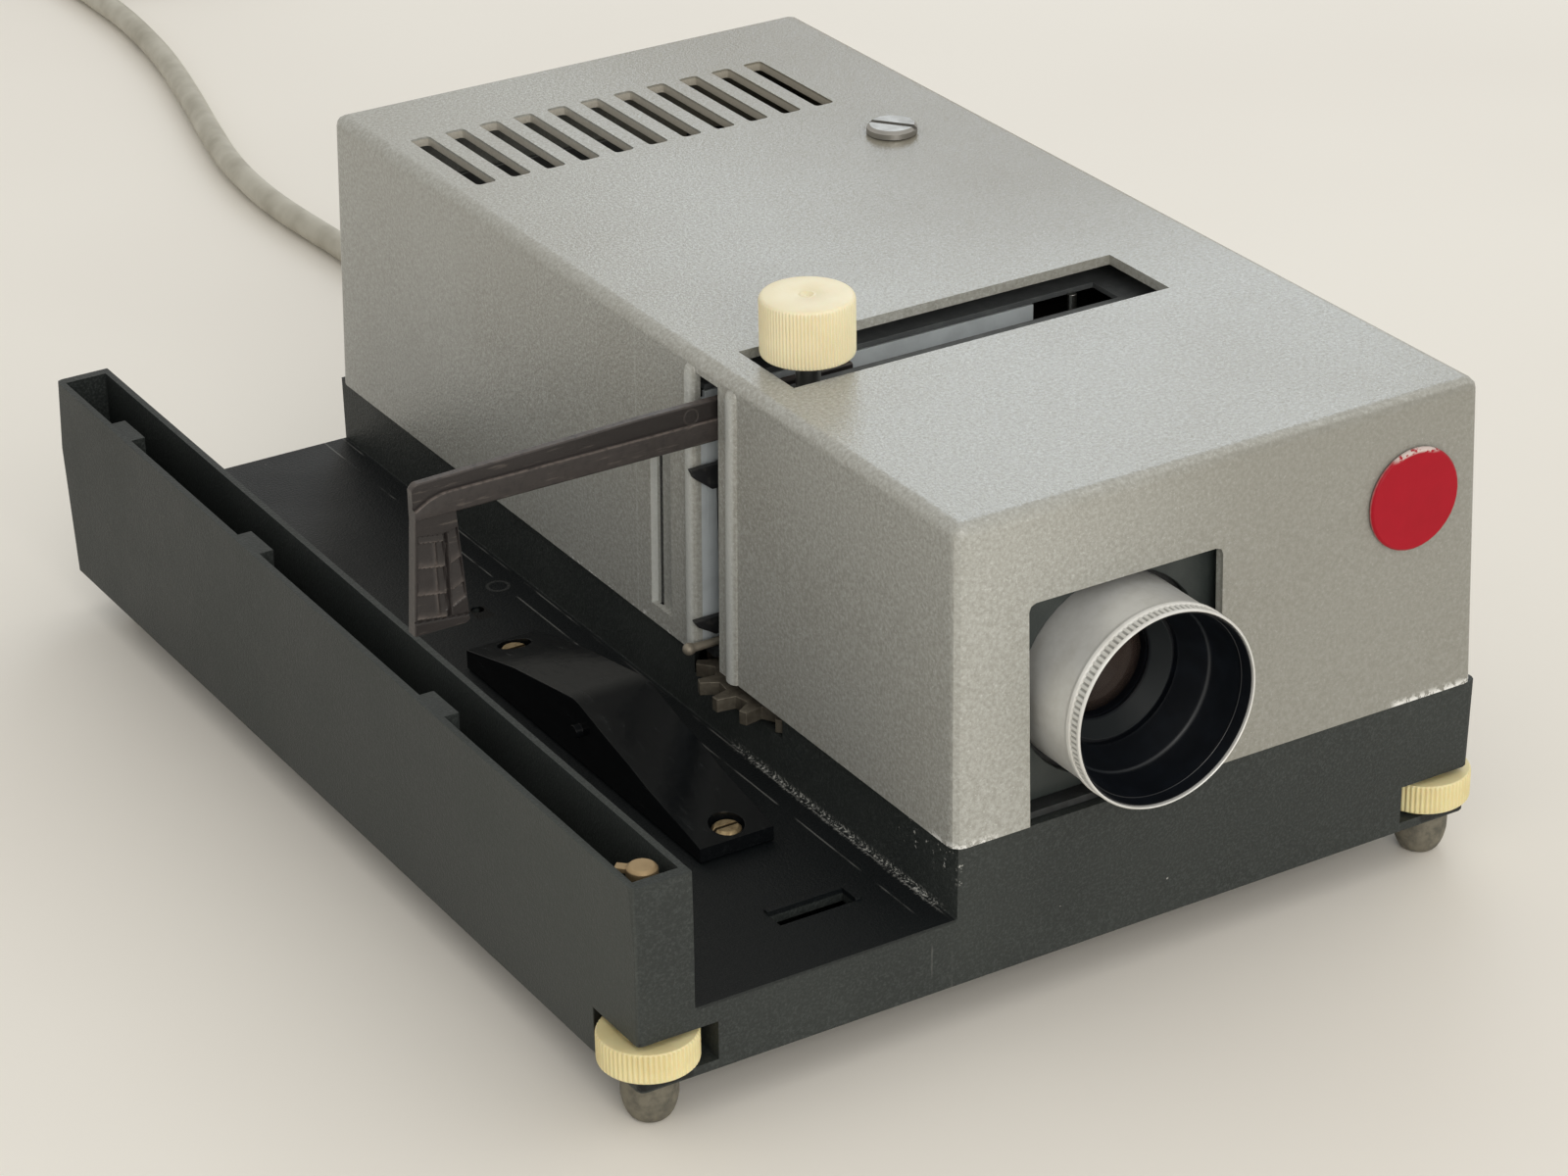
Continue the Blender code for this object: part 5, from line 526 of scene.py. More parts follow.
ring_mark = (((x - RING_X) ** 2 + (y - RING_Y) ** 2) ** 0.5).band(RING_RADIUS, 0.0002, 0.0003)
hole_painted_shade = (x - HOLE_X).band(0, 0.0020, 0.0002) * (y - HOLE_Y).band(0, 0.0028, 0.0003)
foot_line = (x - STEP_X + 0.0002).band(0, 0.0004, 0.0013) \
    * (z - TRAY_Z).band(0.0, 0.0003, 0.0012) * (y + 0.081).band(0, 0.034, 0.008)
scuffs = foot_line * enamel.cloud(0.0009, 4, 0.75).rise(0.52, 0.58)
chips = enamel.cloud(0.0020, 4, 0.7).rise(0.61, 0.65) * (x - STEP_X).band(0, 0.0012, 0.001) \
    * (y + 0.116).band(0, 0.009, 0.006) * z.band(SEAT_Z - 0.0035, 0.0025, 0.003)
light = enamel.maths("MAXIMUM", scuffs * 0.9, chips * 0.75)
light = enamel.maths("MAXIMUM", light, rub_lines * 0.22)
light = enamel.maths("MAXIMUM", light, ring_mark * on_floor * 0.06)
light = enamel.maths("MAXIMUM", light, (1 - speck) * dust * 0.8)
# Painted shade: a square hole in the tray floor is painted black.
body_colour = enamel.blend(hole_painted_shade * on_floor, body_colour, (0.0005, 0.0005, 0.0005))
enamel.set("Base Color", enamel.blend(light, body_colour, tone(196, 196, 190)))
enamel.set("Roughness", 0.38 + 0.20 * grain + 0.10 * wide)
enamel.relief(grain + 0.35 * enamel.cloud(0.0022, 2), 0.00016)
eased("base_tray", 0.00045, enamel)


# What closes the base below: a pressed steel plate in the same enamel, two screws, two rubber
# feet at the back, and in front two ribbed thumb wheels that screw the levelling feet out. Each
# levelling foot is a brass spindle with a domed rubber pad on its end.
def brushed(name, colour, roughness, size=0.0006, stretch=(1, 1, 1), spread=0.10,
            metallic=1.0):
    """Bare metal: a fine grain drawn out one way varies its gloss, and dull spots its tone."""
    metal = Finish(name, colour, roughness, metallic)
    lines = metal.cloud(size, 3, 0.6, stretch)
    dull = metal.cloud(0.006, 3).rise(0.40, 0.75)
    metal.set("Base Color", metal.blend(dull * 0.55, colour, tuple(c * 0.72 for c in colour)))
    metal.set("Roughness", roughness + spread * lines + 0.10 * dull)
    metal.relief(lines, 0.00002)
    return metal


steel = brushed("plain_steel", tone(178, 178, 174), 0.30)
brass = brushed("aged_brass", tone(176, 153, 118), 0.44, 0.0004, metallic=0.80)
eased("bottom_plate", 0.0, enamel)
for screw in ("left_bottom_screw", "right_bottom_screw"):
    eased(screw, 0.0, steel)
pad_rubber = Finish("foot_rubber", roughness=0.72)
pad_dust = pad_rubber.cloud(0.0024, 4, 0.6).rise(0.35, 0.75)
pad_rubber.set("Base Color", pad_rubber.blend(pad_dust, tone(118, 113, 99), tone(84, 82, 73)))
pad_rubber.relief(pad_rubber.cloud(0.0007, 3, 0.6), 0.00016)
for foot in ("left_rear_foot", "right_rear_foot"):
    eased(foot, 0.0004, pad_rubber)
FOOT_PLACES = (("left", -0.09295), ("right", 0.09295))
FOOT_Y = -0.1181
PAD_ROWS = ((0.0001, 0.0), (0.0030, 0.0), (0.0036, 0.0002), (0.0042, 0.0008), (0.0047, 0.0017),
            (0.0051, 0.0027), (0.0054, 0.0038), (0.00562, 0.0050), (0.00568, 0.0062),
            (0.00568, 0.0088), (0.0056, 0.0094), (0.0053, 0.0097), (0.0027, 0.0097),
            (0.0027, 0.0036), (0.0001, 0.0036))
for label, across in FOOT_PLACES:
    pad = lathe(label + "_rubber_pad", PAD_ROWS, (across, FOOT_Y, 0), "Z", 72, pad_rubber)
    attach(pad, label + "_leg")
    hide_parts(label + "_foot_pad")
for spindle in ("left_foot_spindle", "right_foot_spindle"):
    eased(spindle, 0.0002, brass)


def cream(name, colour, shade):
    """Ivory coloured moulded plastic, yellowed unevenly."""
    plastic = Finish(name, roughness=0.36, Subsurface_Weight=0.10, Subsurface_Scale=0.0015)
    yellow = plastic.cloud(0.008, 3).rise(0.3, 0.8)
    plastic.set("Base Color", plastic.blend(yellow, colour, shade))
    plastic.set("Roughness", 0.32 + 0.16 * plastic.cloud(0.0015, 3))
    plastic.relief(plastic.cloud(0.0006, 2), 0.00003)
    return plastic


wheel_cream = cream("wheel_plastic", tone(234, 222, 172), tone(218, 203, 150))
WHEEL_RIBS = 60
WHEEL_ROWS = (
    (0.00255, 0.0123), (0.0046, 0.0123), (0.0046, 0.0126), (0.0092, 0.0126), (0.0096, 0.0127),
    (0.0099, 0.0130, 0.3), (0.0100, 0.0134, 1.0), (0.0100, 0.0160, 1.0), (0.0100, 0.0185, 1.0),
    (0.0099, 0.0189, 0.5), (0.0096, 0.0192), (0.0090, 0.0193), (0.0062, 0.0193),
    (0.0058, 0.0191), (0.0050, 0.0191), (0.0046, 0.0193), (0.0046, 0.0202),
    (0.00255, 0.0202))
for label, across in FOOT_PLACES:
    wheel = lathe(label + "_thumb_wheel", WHEEL_ROWS, (across, FOOT_Y, 0), "Z", 8 * WHEEL_RIBS,
                  wheel_cream, "ring", WHEEL_RIBS, 0.00042, 1.6)
    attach(wheel, label + "_wheel")
    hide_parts(label + "_foot_wheel")


# The cover: a drafted steel box with the openings for the changer, the lens and the air, and
# two beads pressed beside the slide opening. Its paint is a pale warm grey with a fine,
# pebbled grain that sparkles towards the window, and is chipped along its foot in front. Its
# colour also holds painted glints on the grain, painted shade on the front, on the rear right
# and in the groove, paler vent walls, and painted highlights on the beads and the jamb.
SHELL_LEFT, SHELL_FRONT = -0.02915, -0.1264
SIDE_LEAN, FRONT_LEAN = 0.00134 / 0.0680, 0.00165 / 0.0680
SIDE_WALL = 0.0012
VENTS_X, VENTS_HALF_WIDTH = 0.0256, 0.0475
VENTS_Y, VENTS_HALF_DEPTH, VENTS_TOP = 0.0935, 0.0172, 0.1081
GROOVE_Y, GROOVE_HALF, GROOVE_TOP, GROOVE_LINE = -0.0147, 0.0044, 0.0868, -0.0124
SEAM_LINE, JAMB_EDGE, BEADS_Y, BEADS_HALF = -0.0048, -0.0104, -0.035, 0.020
cover_paint = Finish("cover_paint", roughness=0.32)
x, y, z = (cover_paint.along(k) for k in range(3))
pebbles = cover_paint.cloud(0.00085, 3, 0.6)
fine = cover_paint.cloud(0.00045, 2, 0.5)
worn = cover_paint.cloud(0.045, 3).rise(0.35, 0.75)
grey = cover_paint.blend(worn, tone(167, 167, 160), tone(162, 161, 153))
grey = cover_paint.blend(pebbles.rise(0.46, 0.68) * 0.38, grey, tone(196, 197, 193))
grey = cover_paint.blend((1 - pebbles.rise(0.32, 0.50)) * 0.30, grey, tone(132, 131, 123))
# Painted glints: small near-white specks are painted over the grain.
painted_glints = cover_paint.cloud(0.00055, 3, 0.7).rise(0.56, 0.72)
grey = cover_paint.blend(painted_glints * 0.50, grey, tone(216, 218, 214))
# Painted shade: the front face is painted darker, more so towards the right.
front = 1 - (y - SHELL_FRONT - (z - SEAT_Z) * FRONT_LEAN).rise(0.0004, 0.0012)
grey = cover_paint.blend(front * x.rise(-0.030, 0.055) * 0.58, grey, tone(120, 118, 108))
# Painted shade: the cover is painted darker towards its rear right.
rear_painted_shade = x.rise(0.010, 0.080) * y.rise(-0.075, 0.025)
grey = cover_paint.blend(rear_painted_shade * 0.75, grey, tone(126, 119, 100))
# Painted light: the walls of the air vents are painted paler.
vents_painted_light = y.band(VENTS_Y, VENTS_HALF_DEPTH, 0.0002) * x.band(VENTS_X, VENTS_HALF_WIDTH, 0.0004) \
    * (1 - (z - VENTS_TOP).rise(0.0, 0.0004))
grey = cover_paint.blend(vents_painted_light * 0.55, grey, tone(214, 206, 190))
soil = cover_paint.cloud(0.0030, 4, 0.65).rise(0.66, 0.76)
grey = cover_paint.blend(soil * 0.18, grey, tone(120, 114, 100))
foot = 1 - (z - SEAT_Z).rise(0.0004, 0.0022)
flakes = cover_paint.cloud(0.0013, 4, 0.7)
corner = (x - SHELL_LEFT).band(0, 0.0075, 0.004) * (y - SHELL_FRONT).band(0, 0.0065, 0.004)
other = x.band(0.089, 0.0105, 0.003) * (y - SHELL_FRONT).band(0, 0.004, 0.002)
near_foot = (x - SHELL_LEFT).band(0, 0.003, 0.001) * y.band(0.0, 0.022, 0.01)
chipped = foot * (corner * flakes.rise(0.46, 0.52) + other * flakes.rise(0.44, 0.50)
                  + near_foot * flakes.rise(0.56, 0.62))
chipped = cover_paint.maths("MINIMUM", chipped, 1.0)
behind_wall = (x - SHELL_LEFT - SIDE_WALL).rise(0.0, 0.0003)
line = (y - GROOVE_LINE).band(0, 0.0005, 0.0002)
seam = (y - SEAM_LINE).band(0, 0.0001, 0.0004) * (1 - behind_wall)
groove_painted_shade = behind_wall * x.band(-0.029, 0.003, 0.001) * y.band(GROOVE_Y, GROOVE_HALF, 0.0001) \
    * (1 - (z - GROOVE_TOP).rise(0.0, 0.0002))
# Painted shade: the groove beside the slide opening is painted grey-blue, with a black shadow
# line along its rear wall.
grey = cover_paint.blend(groove_painted_shade * 0.14, grey, tone(92, 98, 102))
grey = cover_paint.blend(groove_painted_shade * line, grey, tone(8, 9, 10))
grey = cover_paint.blend(seam * 0.10, grey, tone(236, 238, 236))
proud = x - SHELL_LEFT - (z - SEAT_Z) * SIDE_LEAN
bead_painted_highlight = (1 - proud.rise(-0.0011, -0.0005)) * (y - BEADS_Y).band(0, BEADS_HALF, 0.001)
jamb_painted_highlight = (y - JAMB_EDGE).band(0, 0.0003, 0.0001) * proud.rise(0.0001, 0.0002) \
    * z.band(0.0656, 0.0200, 0.0010)
# Painted highlights: the crests of the two beads and the edge of the jamb are painted near white.
grey = cover_paint.blend(bead_painted_highlight * 0.60, grey, tone(216, 219, 215))
grey = cover_paint.blend(jamb_painted_highlight * 0.60, grey, tone(226, 229, 226))
cover_paint.set("Base Color", cover_paint.blend(chipped, grey, tone(232, 232, 228)))
cover_paint.set("Roughness", 0.16 + 0.12 * fine + 0.04 * worn)
cover_paint.relief(0.6 * pebbles + 0.5 * fine - 0.6 * chipped, 0.00016)
eased("top_shell", 0.0004, cover_paint)


# The bare red badge on the front, a pressed disc with an enamelled face, and the bright coin
# screw that holds the cover to its post.
badge_red = Finish("badge_enamel", roughness=0.30, Specular_IOR_Level=0.20)
x, z = badge_red.along(0), badge_red.along(2)
BADGE_X, BADGE_Z = 0.08015, 0.0870
rim = ((x - BADGE_X) ** 2 + (z - BADGE_Z) ** 2) ** 0.5
edge_wear = rim.rise(0.0098, 0.0104) * (z - BADGE_Z).rise(0.0088, 0.0100) \
    * badge_red.cloud(0.0012, 3, 0.6).rise(0.36, 0.46)
edge_wear = badge_red.maths("MAXIMUM", edge_wear, rim.rise(0.01085, 0.0110) * 0.30)
face = badge_red.blend(badge_red.cloud(0.004, 3), tone(170, 8, 34), tone(156, 6, 28))
badge_red.set("Base Color", badge_red.blend(edge_wear, face, tone(206, 190, 184)))
badge_red.set("Roughness", 0.26 + 0.25 * badge_red.cloud(0.0010, 3))
badge_red.relief(badge_red.cloud(0.0008, 2), 0.00002)
eased("front_badge", 0.00015, badge_red)
bright = brushed("bright_screw", tone(214, 213, 208), 0.24, 0.0003)
coin_slot = brushed("coin_screw", tone(172, 170, 166), 0.34, 0.0003)
eased("cover_screw", 0.0002, coin_slot)
eased("cover_post", 0.0, steel)


# Under the cover: the steel chassis plate with its screws, and on it the changer's guide, the
# two gate plates that the slide drops between, their shelf, lugs and stop pin. The rear plate
# has a lip, here a strip of its own, that reaches out to the side opening.
gate_steel = brushed("gate_steel", tone(212, 219, 222), 0.45, 0.0009, (1, 1, 8), 0.14, 0.1)
dark_paint = Finish("matt_black_paint", roughness=0.55)
dark_paint.set("Base Color", dark_paint.blend(
    dark_paint.cloud(0.003, 4, 0.6).rise(0.4, 0.8), tone(36, 38, 39), tone(58, 61, 62)))
dark_paint.set("Roughness", 0.42 + 0.25 * dark_paint.cloud(0.0012, 3))
dark_paint.relief(dark_paint.cloud(0.0008, 3, 0.6), 0.00008)
black_moulding = Finish("black_moulding", roughness=0.4)
black_moulding.set("Base Color", black_moulding.blend(
    black_moulding.cloud(0.002, 4, 0.6).rise(0.5, 0.8), tone(30, 30, 32), tone(66, 64, 62)))
black_moulding.set("Roughness", 0.34 + 0.25 * black_moulding.cloud(0.0016, 3))
black_moulding.relief(black_moulding.cloud(0.0007, 2), 0.00004)
eased("chassis_plate", 0.0, dark_paint)
for screw in ("left_chassis_screw", "right_chassis_screw"):
    eased(screw, 0.0, steel)
for plate in ("gate_front_plate", "gate_rear_plate"):
    eased(plate, 0.0001, gate_steel)
LIP_LEFT, LIP_RIGHT, LIP_FRONT, LIP_BACK = -0.0282, -0.0258, -0.0294, -0.0286
LIP_HEIGHTS = (0.0430, 0.0640, 0.0990)
gate_lip = surface("gate_rear_lip", [
    [(LIP_LEFT, LIP_FRONT, h), (LIP_RIGHT, LIP_FRONT, h), (LIP_RIGHT, LIP_BACK, h),
     (LIP_LEFT, LIP_BACK, h)] for h in LIP_HEIGHTS], gate_steel)
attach(gate_lip, "projector")
guide_grey = Finish("guide_paint", roughness=0.42)
guide_grey.set("Base Color", guide_grey.blend(
    guide_grey.cloud(0.003, 4, 0.6).rise(0.4, 0.8), tone(88, 91, 92), tone(104, 107, 107)))
guide_grey.set("Roughness", 0.36 + 0.22 * guide_grey.cloud(0.0012, 3))
guide_grey.relief(guide_grey.cloud(0.0008, 3, 0.6), 0.00006)
eased("changer_guide", 0.00015, guide_grey)
eased("changer_shelf", 0.00015, guide_grey)
eased("slide_guides", 0.0003, black_moulding)
eased("stop_pin", 0.0001, bright)
eased("index_bush", 0.0001, brass)
eased("catch_block", 0.0001, steel)


# The lens: a black panel with a round hole, a sleeve behind it, the satin chromed barrel with
# its knurled ring and lip, the black stepped hood in its mouth, and the cell with its glasses.
OPTIC = (0.01105, 0, 0.0659)
BARREL_FRONT = -0.1394
KNURLS = 105
panel_paint = Finish("panel_paint", roughness=0.5)
panel_paint.set("Base Color", panel_paint.blend(
    panel_paint.cloud(0.006, 3).rise(0.3, 0.8), tone(44, 50, 49), tone(54, 60, 58)))
panel_paint.relief(panel_paint.cloud(0.0008, 3, 0.6), 0.00008)
eased("lens_panel", 0.00025, panel_paint)
eased("lens_sleeve", 0.0, dark_paint)
chrome = Finish("satin_chrome", metallic=0.42)
x, y, z = (chrome.along(k) for k in range(3))
turning = chrome.cloud(0.0004, 2, 0.5, (12, 1, 12))
haze = chrome.cloud(0.007, 4, 0.6).rise(0.35, 0.75)
spun = chrome.blend(haze, tone(238, 238, 235), tone(220, 219, 214))
turn = chrome.maths("ARCTAN2", z - OPTIC[2], x - OPTIC[0])
# Painted shade: the grooves of the knurled ring are painted darker.
knurl_painted_shade = chrome.maths("COSINE", turn * KNURLS).rise(-0.2, 0.8) \
    * (y - BARREL_FRONT).band(0.0019, 0.0010, 0.0001)
chrome.set("Base Color", chrome.blend(knurl_painted_shade * 0.55, spun, tone(80, 78, 72)))
chrome.set("Roughness", 0.32 + 0.10 * turning + 0.10 * haze)
chrome.relief(turning, 0.00002)
BARREL_ROWS = (
    (0.0198, 0.0135), (0.0198, 0.0032), (0.0203, 0.0028), (0.0203, 0.0004), (0.0204, 0.0001),
    (0.0206, 0.0), (0.0208, 0.0002), (0.0209, 0.0004), (0.0209, 0.0007), (0.0206, 0.0008),
    (0.0206, 0.0009),
    (0.0208, 0.0010, 1.0), (0.0208, 0.0020, 1.0), (0.0208, 0.0029, 1.0), (0.0206, 0.0030),
    (0.0206, 0.0031), (0.0209, 0.0032), (0.0210, 0.0034), (0.0210, 0.0040), (0.0208, 0.0043),
    (0.0205, 0.0054), (0.0205, 0.0180), (0.0205, 0.0300), (0.0205, 0.0560), (0.0188, 0.0560),
    (0.0188, 0.0135))
barrel = lathe("lens_tube", [(r, BARREL_FRONT + h, *s) for r, h, *s in BARREL_ROWS], OPTIC, "Y",
               8 * KNURLS, chrome, "ring", KNURLS, 0.00034, 1.5, 30)
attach(barrel, "lens_ring")
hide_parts("lens_barrel")
hood_black = Finish("hood_black", roughness=0.38)
black = hood_black.blend(hood_black.cloud(0.005, 3).rise(0.4, 0.8), tone(8, 12, 18),
                         tone(16, 21, 28))
x, y, z = (hood_black.along(k) for k in range(3))
out = ((x - OPTIC[0]) ** 2 + (z - OPTIC[2]) ** 2) ** 0.5
retainer = out.band(0.0128, 0.0013, 0.0001) * (y - BARREL_FRONT).band(0.0199, 0.0019, 0.0001)
# Painted highlight: a thin paler arc is painted on the rim of the mouth.
rim_painted_highlight = out.band(0.0179, 0.00012, 0.0001) * (y - BARREL_FRONT).band(0.0111, 0.0003, 0.0001)
black = hood_black.blend(retainer, black, tone(34, 38, 40))
black = hood_black.blend(rim_painted_highlight * 0.4, black, tone(40, 45, 50))
hood_black.set("Base Color", black)
hood_black.set("Roughness", 0.30 + 0.15 * hood_black.cloud(0.0010, 3))
HOOD_ROWS = [(0.0201, 0.0005), (0.0201, 0.0026), (0.0195, 0.0030), (0.0195, 0.0132),
             (0.0185, 0.0132), (0.0185, 0.0224), (0.0112, 0.0224), (0.0112, 0.0219),
             (0.0115, 0.0215), (0.0139, 0.0181), (0.0141, 0.0181), (0.0142, 0.0188),
             (0.0149, 0.0188), (0.0150, 0.0176)]
CONE_STEPS, GROOVE_DEPTH = 14, 0.00008
HOOD_ROWS += [(0.0150 + 0.0026 * k / CONE_STEPS + GROOVE_DEPTH * (k % 2),
               0.0176 - 0.0060 * k / CONE_STEPS) for k in range(CONE_STEPS + 1)]
HOOD_ROWS += [(0.0178, 0.0113), (0.0179, 0.0112), (0.0181, 0.0110), (0.0183, 0.0106),
              (0.0192, 0.0055), (0.0200, 0.0005)]
hood = lathe("lens_mouth_hood", [(r, BARREL_FRONT + h) for r, h in HOOD_ROWS], OPTIC, "Y", 120,
             hood_black, "ring", crease=25)
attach(hood, "lens_ring")
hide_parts("lens_hood")
eased("lens_cell", 0.0, hood_black)
coated_glass = Finish("coated_glass", (0.30, 0.20, 0.16), 0.05, Transmission_Weight=0.55,
                      IOR=1.6, Coat_Weight=0.6, Coat_Tint=(0.92, 0.78, 0.68, 1.0))
coated_glass.set("Base Color", coated_glass.blend(
    coated_glass.cloud(0.01, 2), (0.10, 0.080, 0.072), (0.075, 0.060, 0.055)))
clear_glass = Finish("clear_glass", (0.96, 0.97, 0.95), 0.03, Transmission_Weight=0.92,
                     IOR=1.5)
clear_glass.set("Roughness", 0.02 + 0.05 * clear_glass.cloud(0.01, 3))
for glass in ("front_glass", "rear_glass"):
    eased(glass, 0.0, coated_glass, crease=60)


# The changer arm: a flat moulding in dark brown plastic, rubbed pale along its edges, with a
# rail along its lower half. The pale along the rail's top edge and along the grip's steps is
# partly wear and partly painted highlight. The grip that hangs from its end is moulded in one
# with it, with saw-toothed steps for the finger, a groove down the middle and a plain band below.
arm_brown = Finish("arm_plastic", roughness=0.4)
x, z = arm_brown.along(0), arm_brown.along(2)
flow = arm_brown.cloud(0.004, 3, 0.5, (6, 1, 1))
brown = arm_brown.blend(flow.rise(0.3, 0.8), tone(40, 36, 35), tone(48, 43, 42))
scratch = arm_brown.cloud(0.0009, 3, 0.6, (9, 1, 1)).rise(0.60, 0.70)
brown = arm_brown.blend(scratch * 0.22, brown, tone(130, 121, 112))
MARK_X, MARK_Z, MARK_RADIUS = -0.0336, 0.0997, 0.0016
mark = (((x - MARK_X) ** 2 + (z - MARK_Z) ** 2) ** 0.5).band(MARK_RADIUS, 0.0001, 0.0002)
# Paler where the stored share says: rubbed wear, and a painted highlight on the rail's top edge
# and the grip's steps.
rubbed_and_highlit = arm_brown.node("ShaderNodeAttribute", {"attribute_name": "rubbed_and_highlit"}, None, "Fac")
rubbed_and_highlit = rubbed_and_highlit * arm_brown.cloud(0.0016, 3, 0.6).rise(0.22, 0.60)
brown = arm_brown.blend(mark * 0.07, brown, tone(150, 140, 132))
arm_brown.set("Base Color", arm_brown.blend(rubbed_and_highlit, brown, tone(128, 117, 110)))
arm_brown.set("Roughness", 0.34 + 0.18 * flow)
arm_brown.relief(arm_brown.cloud(0.0011, 3, 0.6) - 0.8 * mark, 0.00006)
ARM_BACK, WEB_FRONT, RAIL_FRONT, GRIP_FRONT = -0.0353, -0.0372, -0.0382, -0.03805


def store_rubbing_and_highlights(piece, amount):
    """Stores how pale each point is, from 0 to 1, for the material to read: rubbed wear and
    painted highlight.
    """
    layer = piece.data.attributes.new("rubbed_and_highlit", "FLOAT", "POINT")
    shares = np.zeros(len(piece.data.vertices))
    shares[:amount.size] = np.ravel(amount)
    layer.data.foreach_set("value", shares)


# The bar's outline at each x, as rows of y, which of the three heights, what is added to that
# height, and how pale it is by wear and painted highlight. Top and rail fall in a curve where the
# grip begins.
ARM_LOW, ARM_HIGH, RAIL_HEIGHT = 0.0933, 0.1021, 0.0048
arm_x = np.concatenate((np.linspace(-0.0964, -0.0930, 12), np.linspace(-0.0925, 0.00485, 60)))
arm_top = 0.10085 + 0.0016 * (arm_x + 0.0953) / 0.0662 \
    - 0.0011 * np.clip((-0.0952 - arm_x) / 0.0012, 0, 1) ** 2
arm_top = np.minimum(arm_top, ARM_HIGH)
rail_top = ARM_LOW + RAIL_HEIGHT - 0.0026 * np.clip((-0.0885 - arm_x) / 0.0075, 0, 1) ** 2
arm_outline = []
for y_part, base_part, rise_part, pale in (
        (ARM_BACK, 0, 0.0003, 0), (ARM_BACK - 0.0003, 0, 0, 0.05),
        (RAIL_FRONT + 0.0003, 0, 0, 0.10), (RAIL_FRONT, 0, 0.0003, 0.06),
        (RAIL_FRONT, 1, -0.0004, 0.06), (RAIL_FRONT + 0.0001, 1, -0.0001, 0.55),
        (RAIL_FRONT + 0.0004, 1, 0, 0.55), (RAIL_FRONT + 0.0006, 1, 0.00005, 0),
        (WEB_FRONT, 1, 0.0002, 0), (WEB_FRONT, 2, -0.0004, 0),
        (WEB_FRONT + 0.0003, 2, -0.0001, 0.25), (ARM_BACK - 0.0003, 2, 0, 0.25),
        (ARM_BACK, 2, -0.0003, 0.05)):
    level_part = (np.full_like(arm_x, ARM_LOW), rail_top, arm_top)[base_part] + rise_part
    arm_outline.append(np.stack((arm_x, np.full_like(arm_x, y_part), level_part,
                                 np.full_like(arm_x, pale)), -1))
arm_grid = np.stack(arm_outline, 1)
arm_bar = surface("changer_arm_bar", arm_grid[..., :3], arm_brown, crease=25)
store_rubbing_and_highlights(arm_bar, arm_grid[..., 3])

# The grip's front, cut by saw-toothed steps: across it they lie along lines that tilt, down on
# the left of the groove and up on the right, and each step deepens towards the line above it.
GRIP_LOW, GRIP_HIGH, GRIP_LENGTH = 0.0686, 0.0941, 0.0255
LEFT_TILT, LEFT_PIVOT, RIGHT_TILT, RIGHT_PIVOT = 0.16, -0.0935, 0.50, -0.0895
LEFT_PANEL_END, RIDGE_X, FINGER_GROOVE_X, RIGHT_PANEL_START = -0.0906, -0.0924, -0.0899, -0.0892
grip_z = np.linspace(GRIP_LOW, GRIP_HIGH, 150)[:, None]
fall = (GRIP_HIGH - grip_z) / GRIP_LENGTH
grip_left = -0.0963 - 0.0016 * fall
grip_right = -0.0875 + 0.0019 * fall - 0.0010 * np.clip((0.0694 - grip_z) / 0.0008, 0, 1) ** 2
share = np.linspace(0, 1, 56)[None, :]
grip_x = grip_left + (grip_right - grip_left) * share
lines = np.array((0.0716, 0.0767, 0.0826, 0.0881, 0.0896))
tilted = grip_z + LEFT_TILT * (grip_x - LEFT_PIVOT)
bay = np.clip(np.searchsorted(lines, tilted, side="right") - 1, 0, 3)
climb = np.clip((tilted - lines[bay]) / (lines[bay + 1] - lines[bay]), 0, 1)
deepest = 0.00055 - 0.0003 * (bay == 3)
stepped = np.where((tilted > lines[0]) & (tilted < lines[4]), climb ** 0.8 * deepest, 0)
other_lines = np.array((0.0728, 0.0762, 0.0820, 0.0890))
tilted_right = grip_z - RIGHT_TILT * (grip_x - RIGHT_PIVOT)
bay_right = np.clip(np.searchsorted(other_lines, tilted_right, side="right") - 1, 0, 2)
climb_right = np.clip((tilted_right - other_lines[bay_right])
                      / (other_lines[bay_right + 1] - other_lines[bay_right]), 0, 1)
stepped_right = np.where((tilted_right > other_lines[0]) & (tilted_right < other_lines[3]),
                         0.0002 + climb_right * 0.0005, 0)
left_panel = (grip_x > grip_left + 0.0006) & (grip_x < LEFT_PANEL_END)
right_panel = (grip_x > RIGHT_PANEL_START) & (grip_x < grip_right - 0.0003)
groove = np.exp(-((grip_x - FINGER_GROOVE_X) / 0.00030) ** 2) * (grip_z > 0.0708) \
    * (grip_z < 0.0894)
ridge = np.exp(-((grip_x - RIDGE_X) / 0.00025) ** 2) * left_panel * (tilted > lines[0]) \
    * (tilted < lines[3]) * (climb > 0.12)
sunk = np.where(left_panel, stepped, 0) + np.where(right_panel, stepped_right, 0)
sunk = sunk + 0.0008 * groove - 0.0003 * ridge
above_band = grip_z - 0.0711 + 0.10 * (grip_x - LEFT_PIVOT)
sunk = np.maximum(sunk, 0.0004 * np.exp(-(above_band / 0.0002) ** 2))
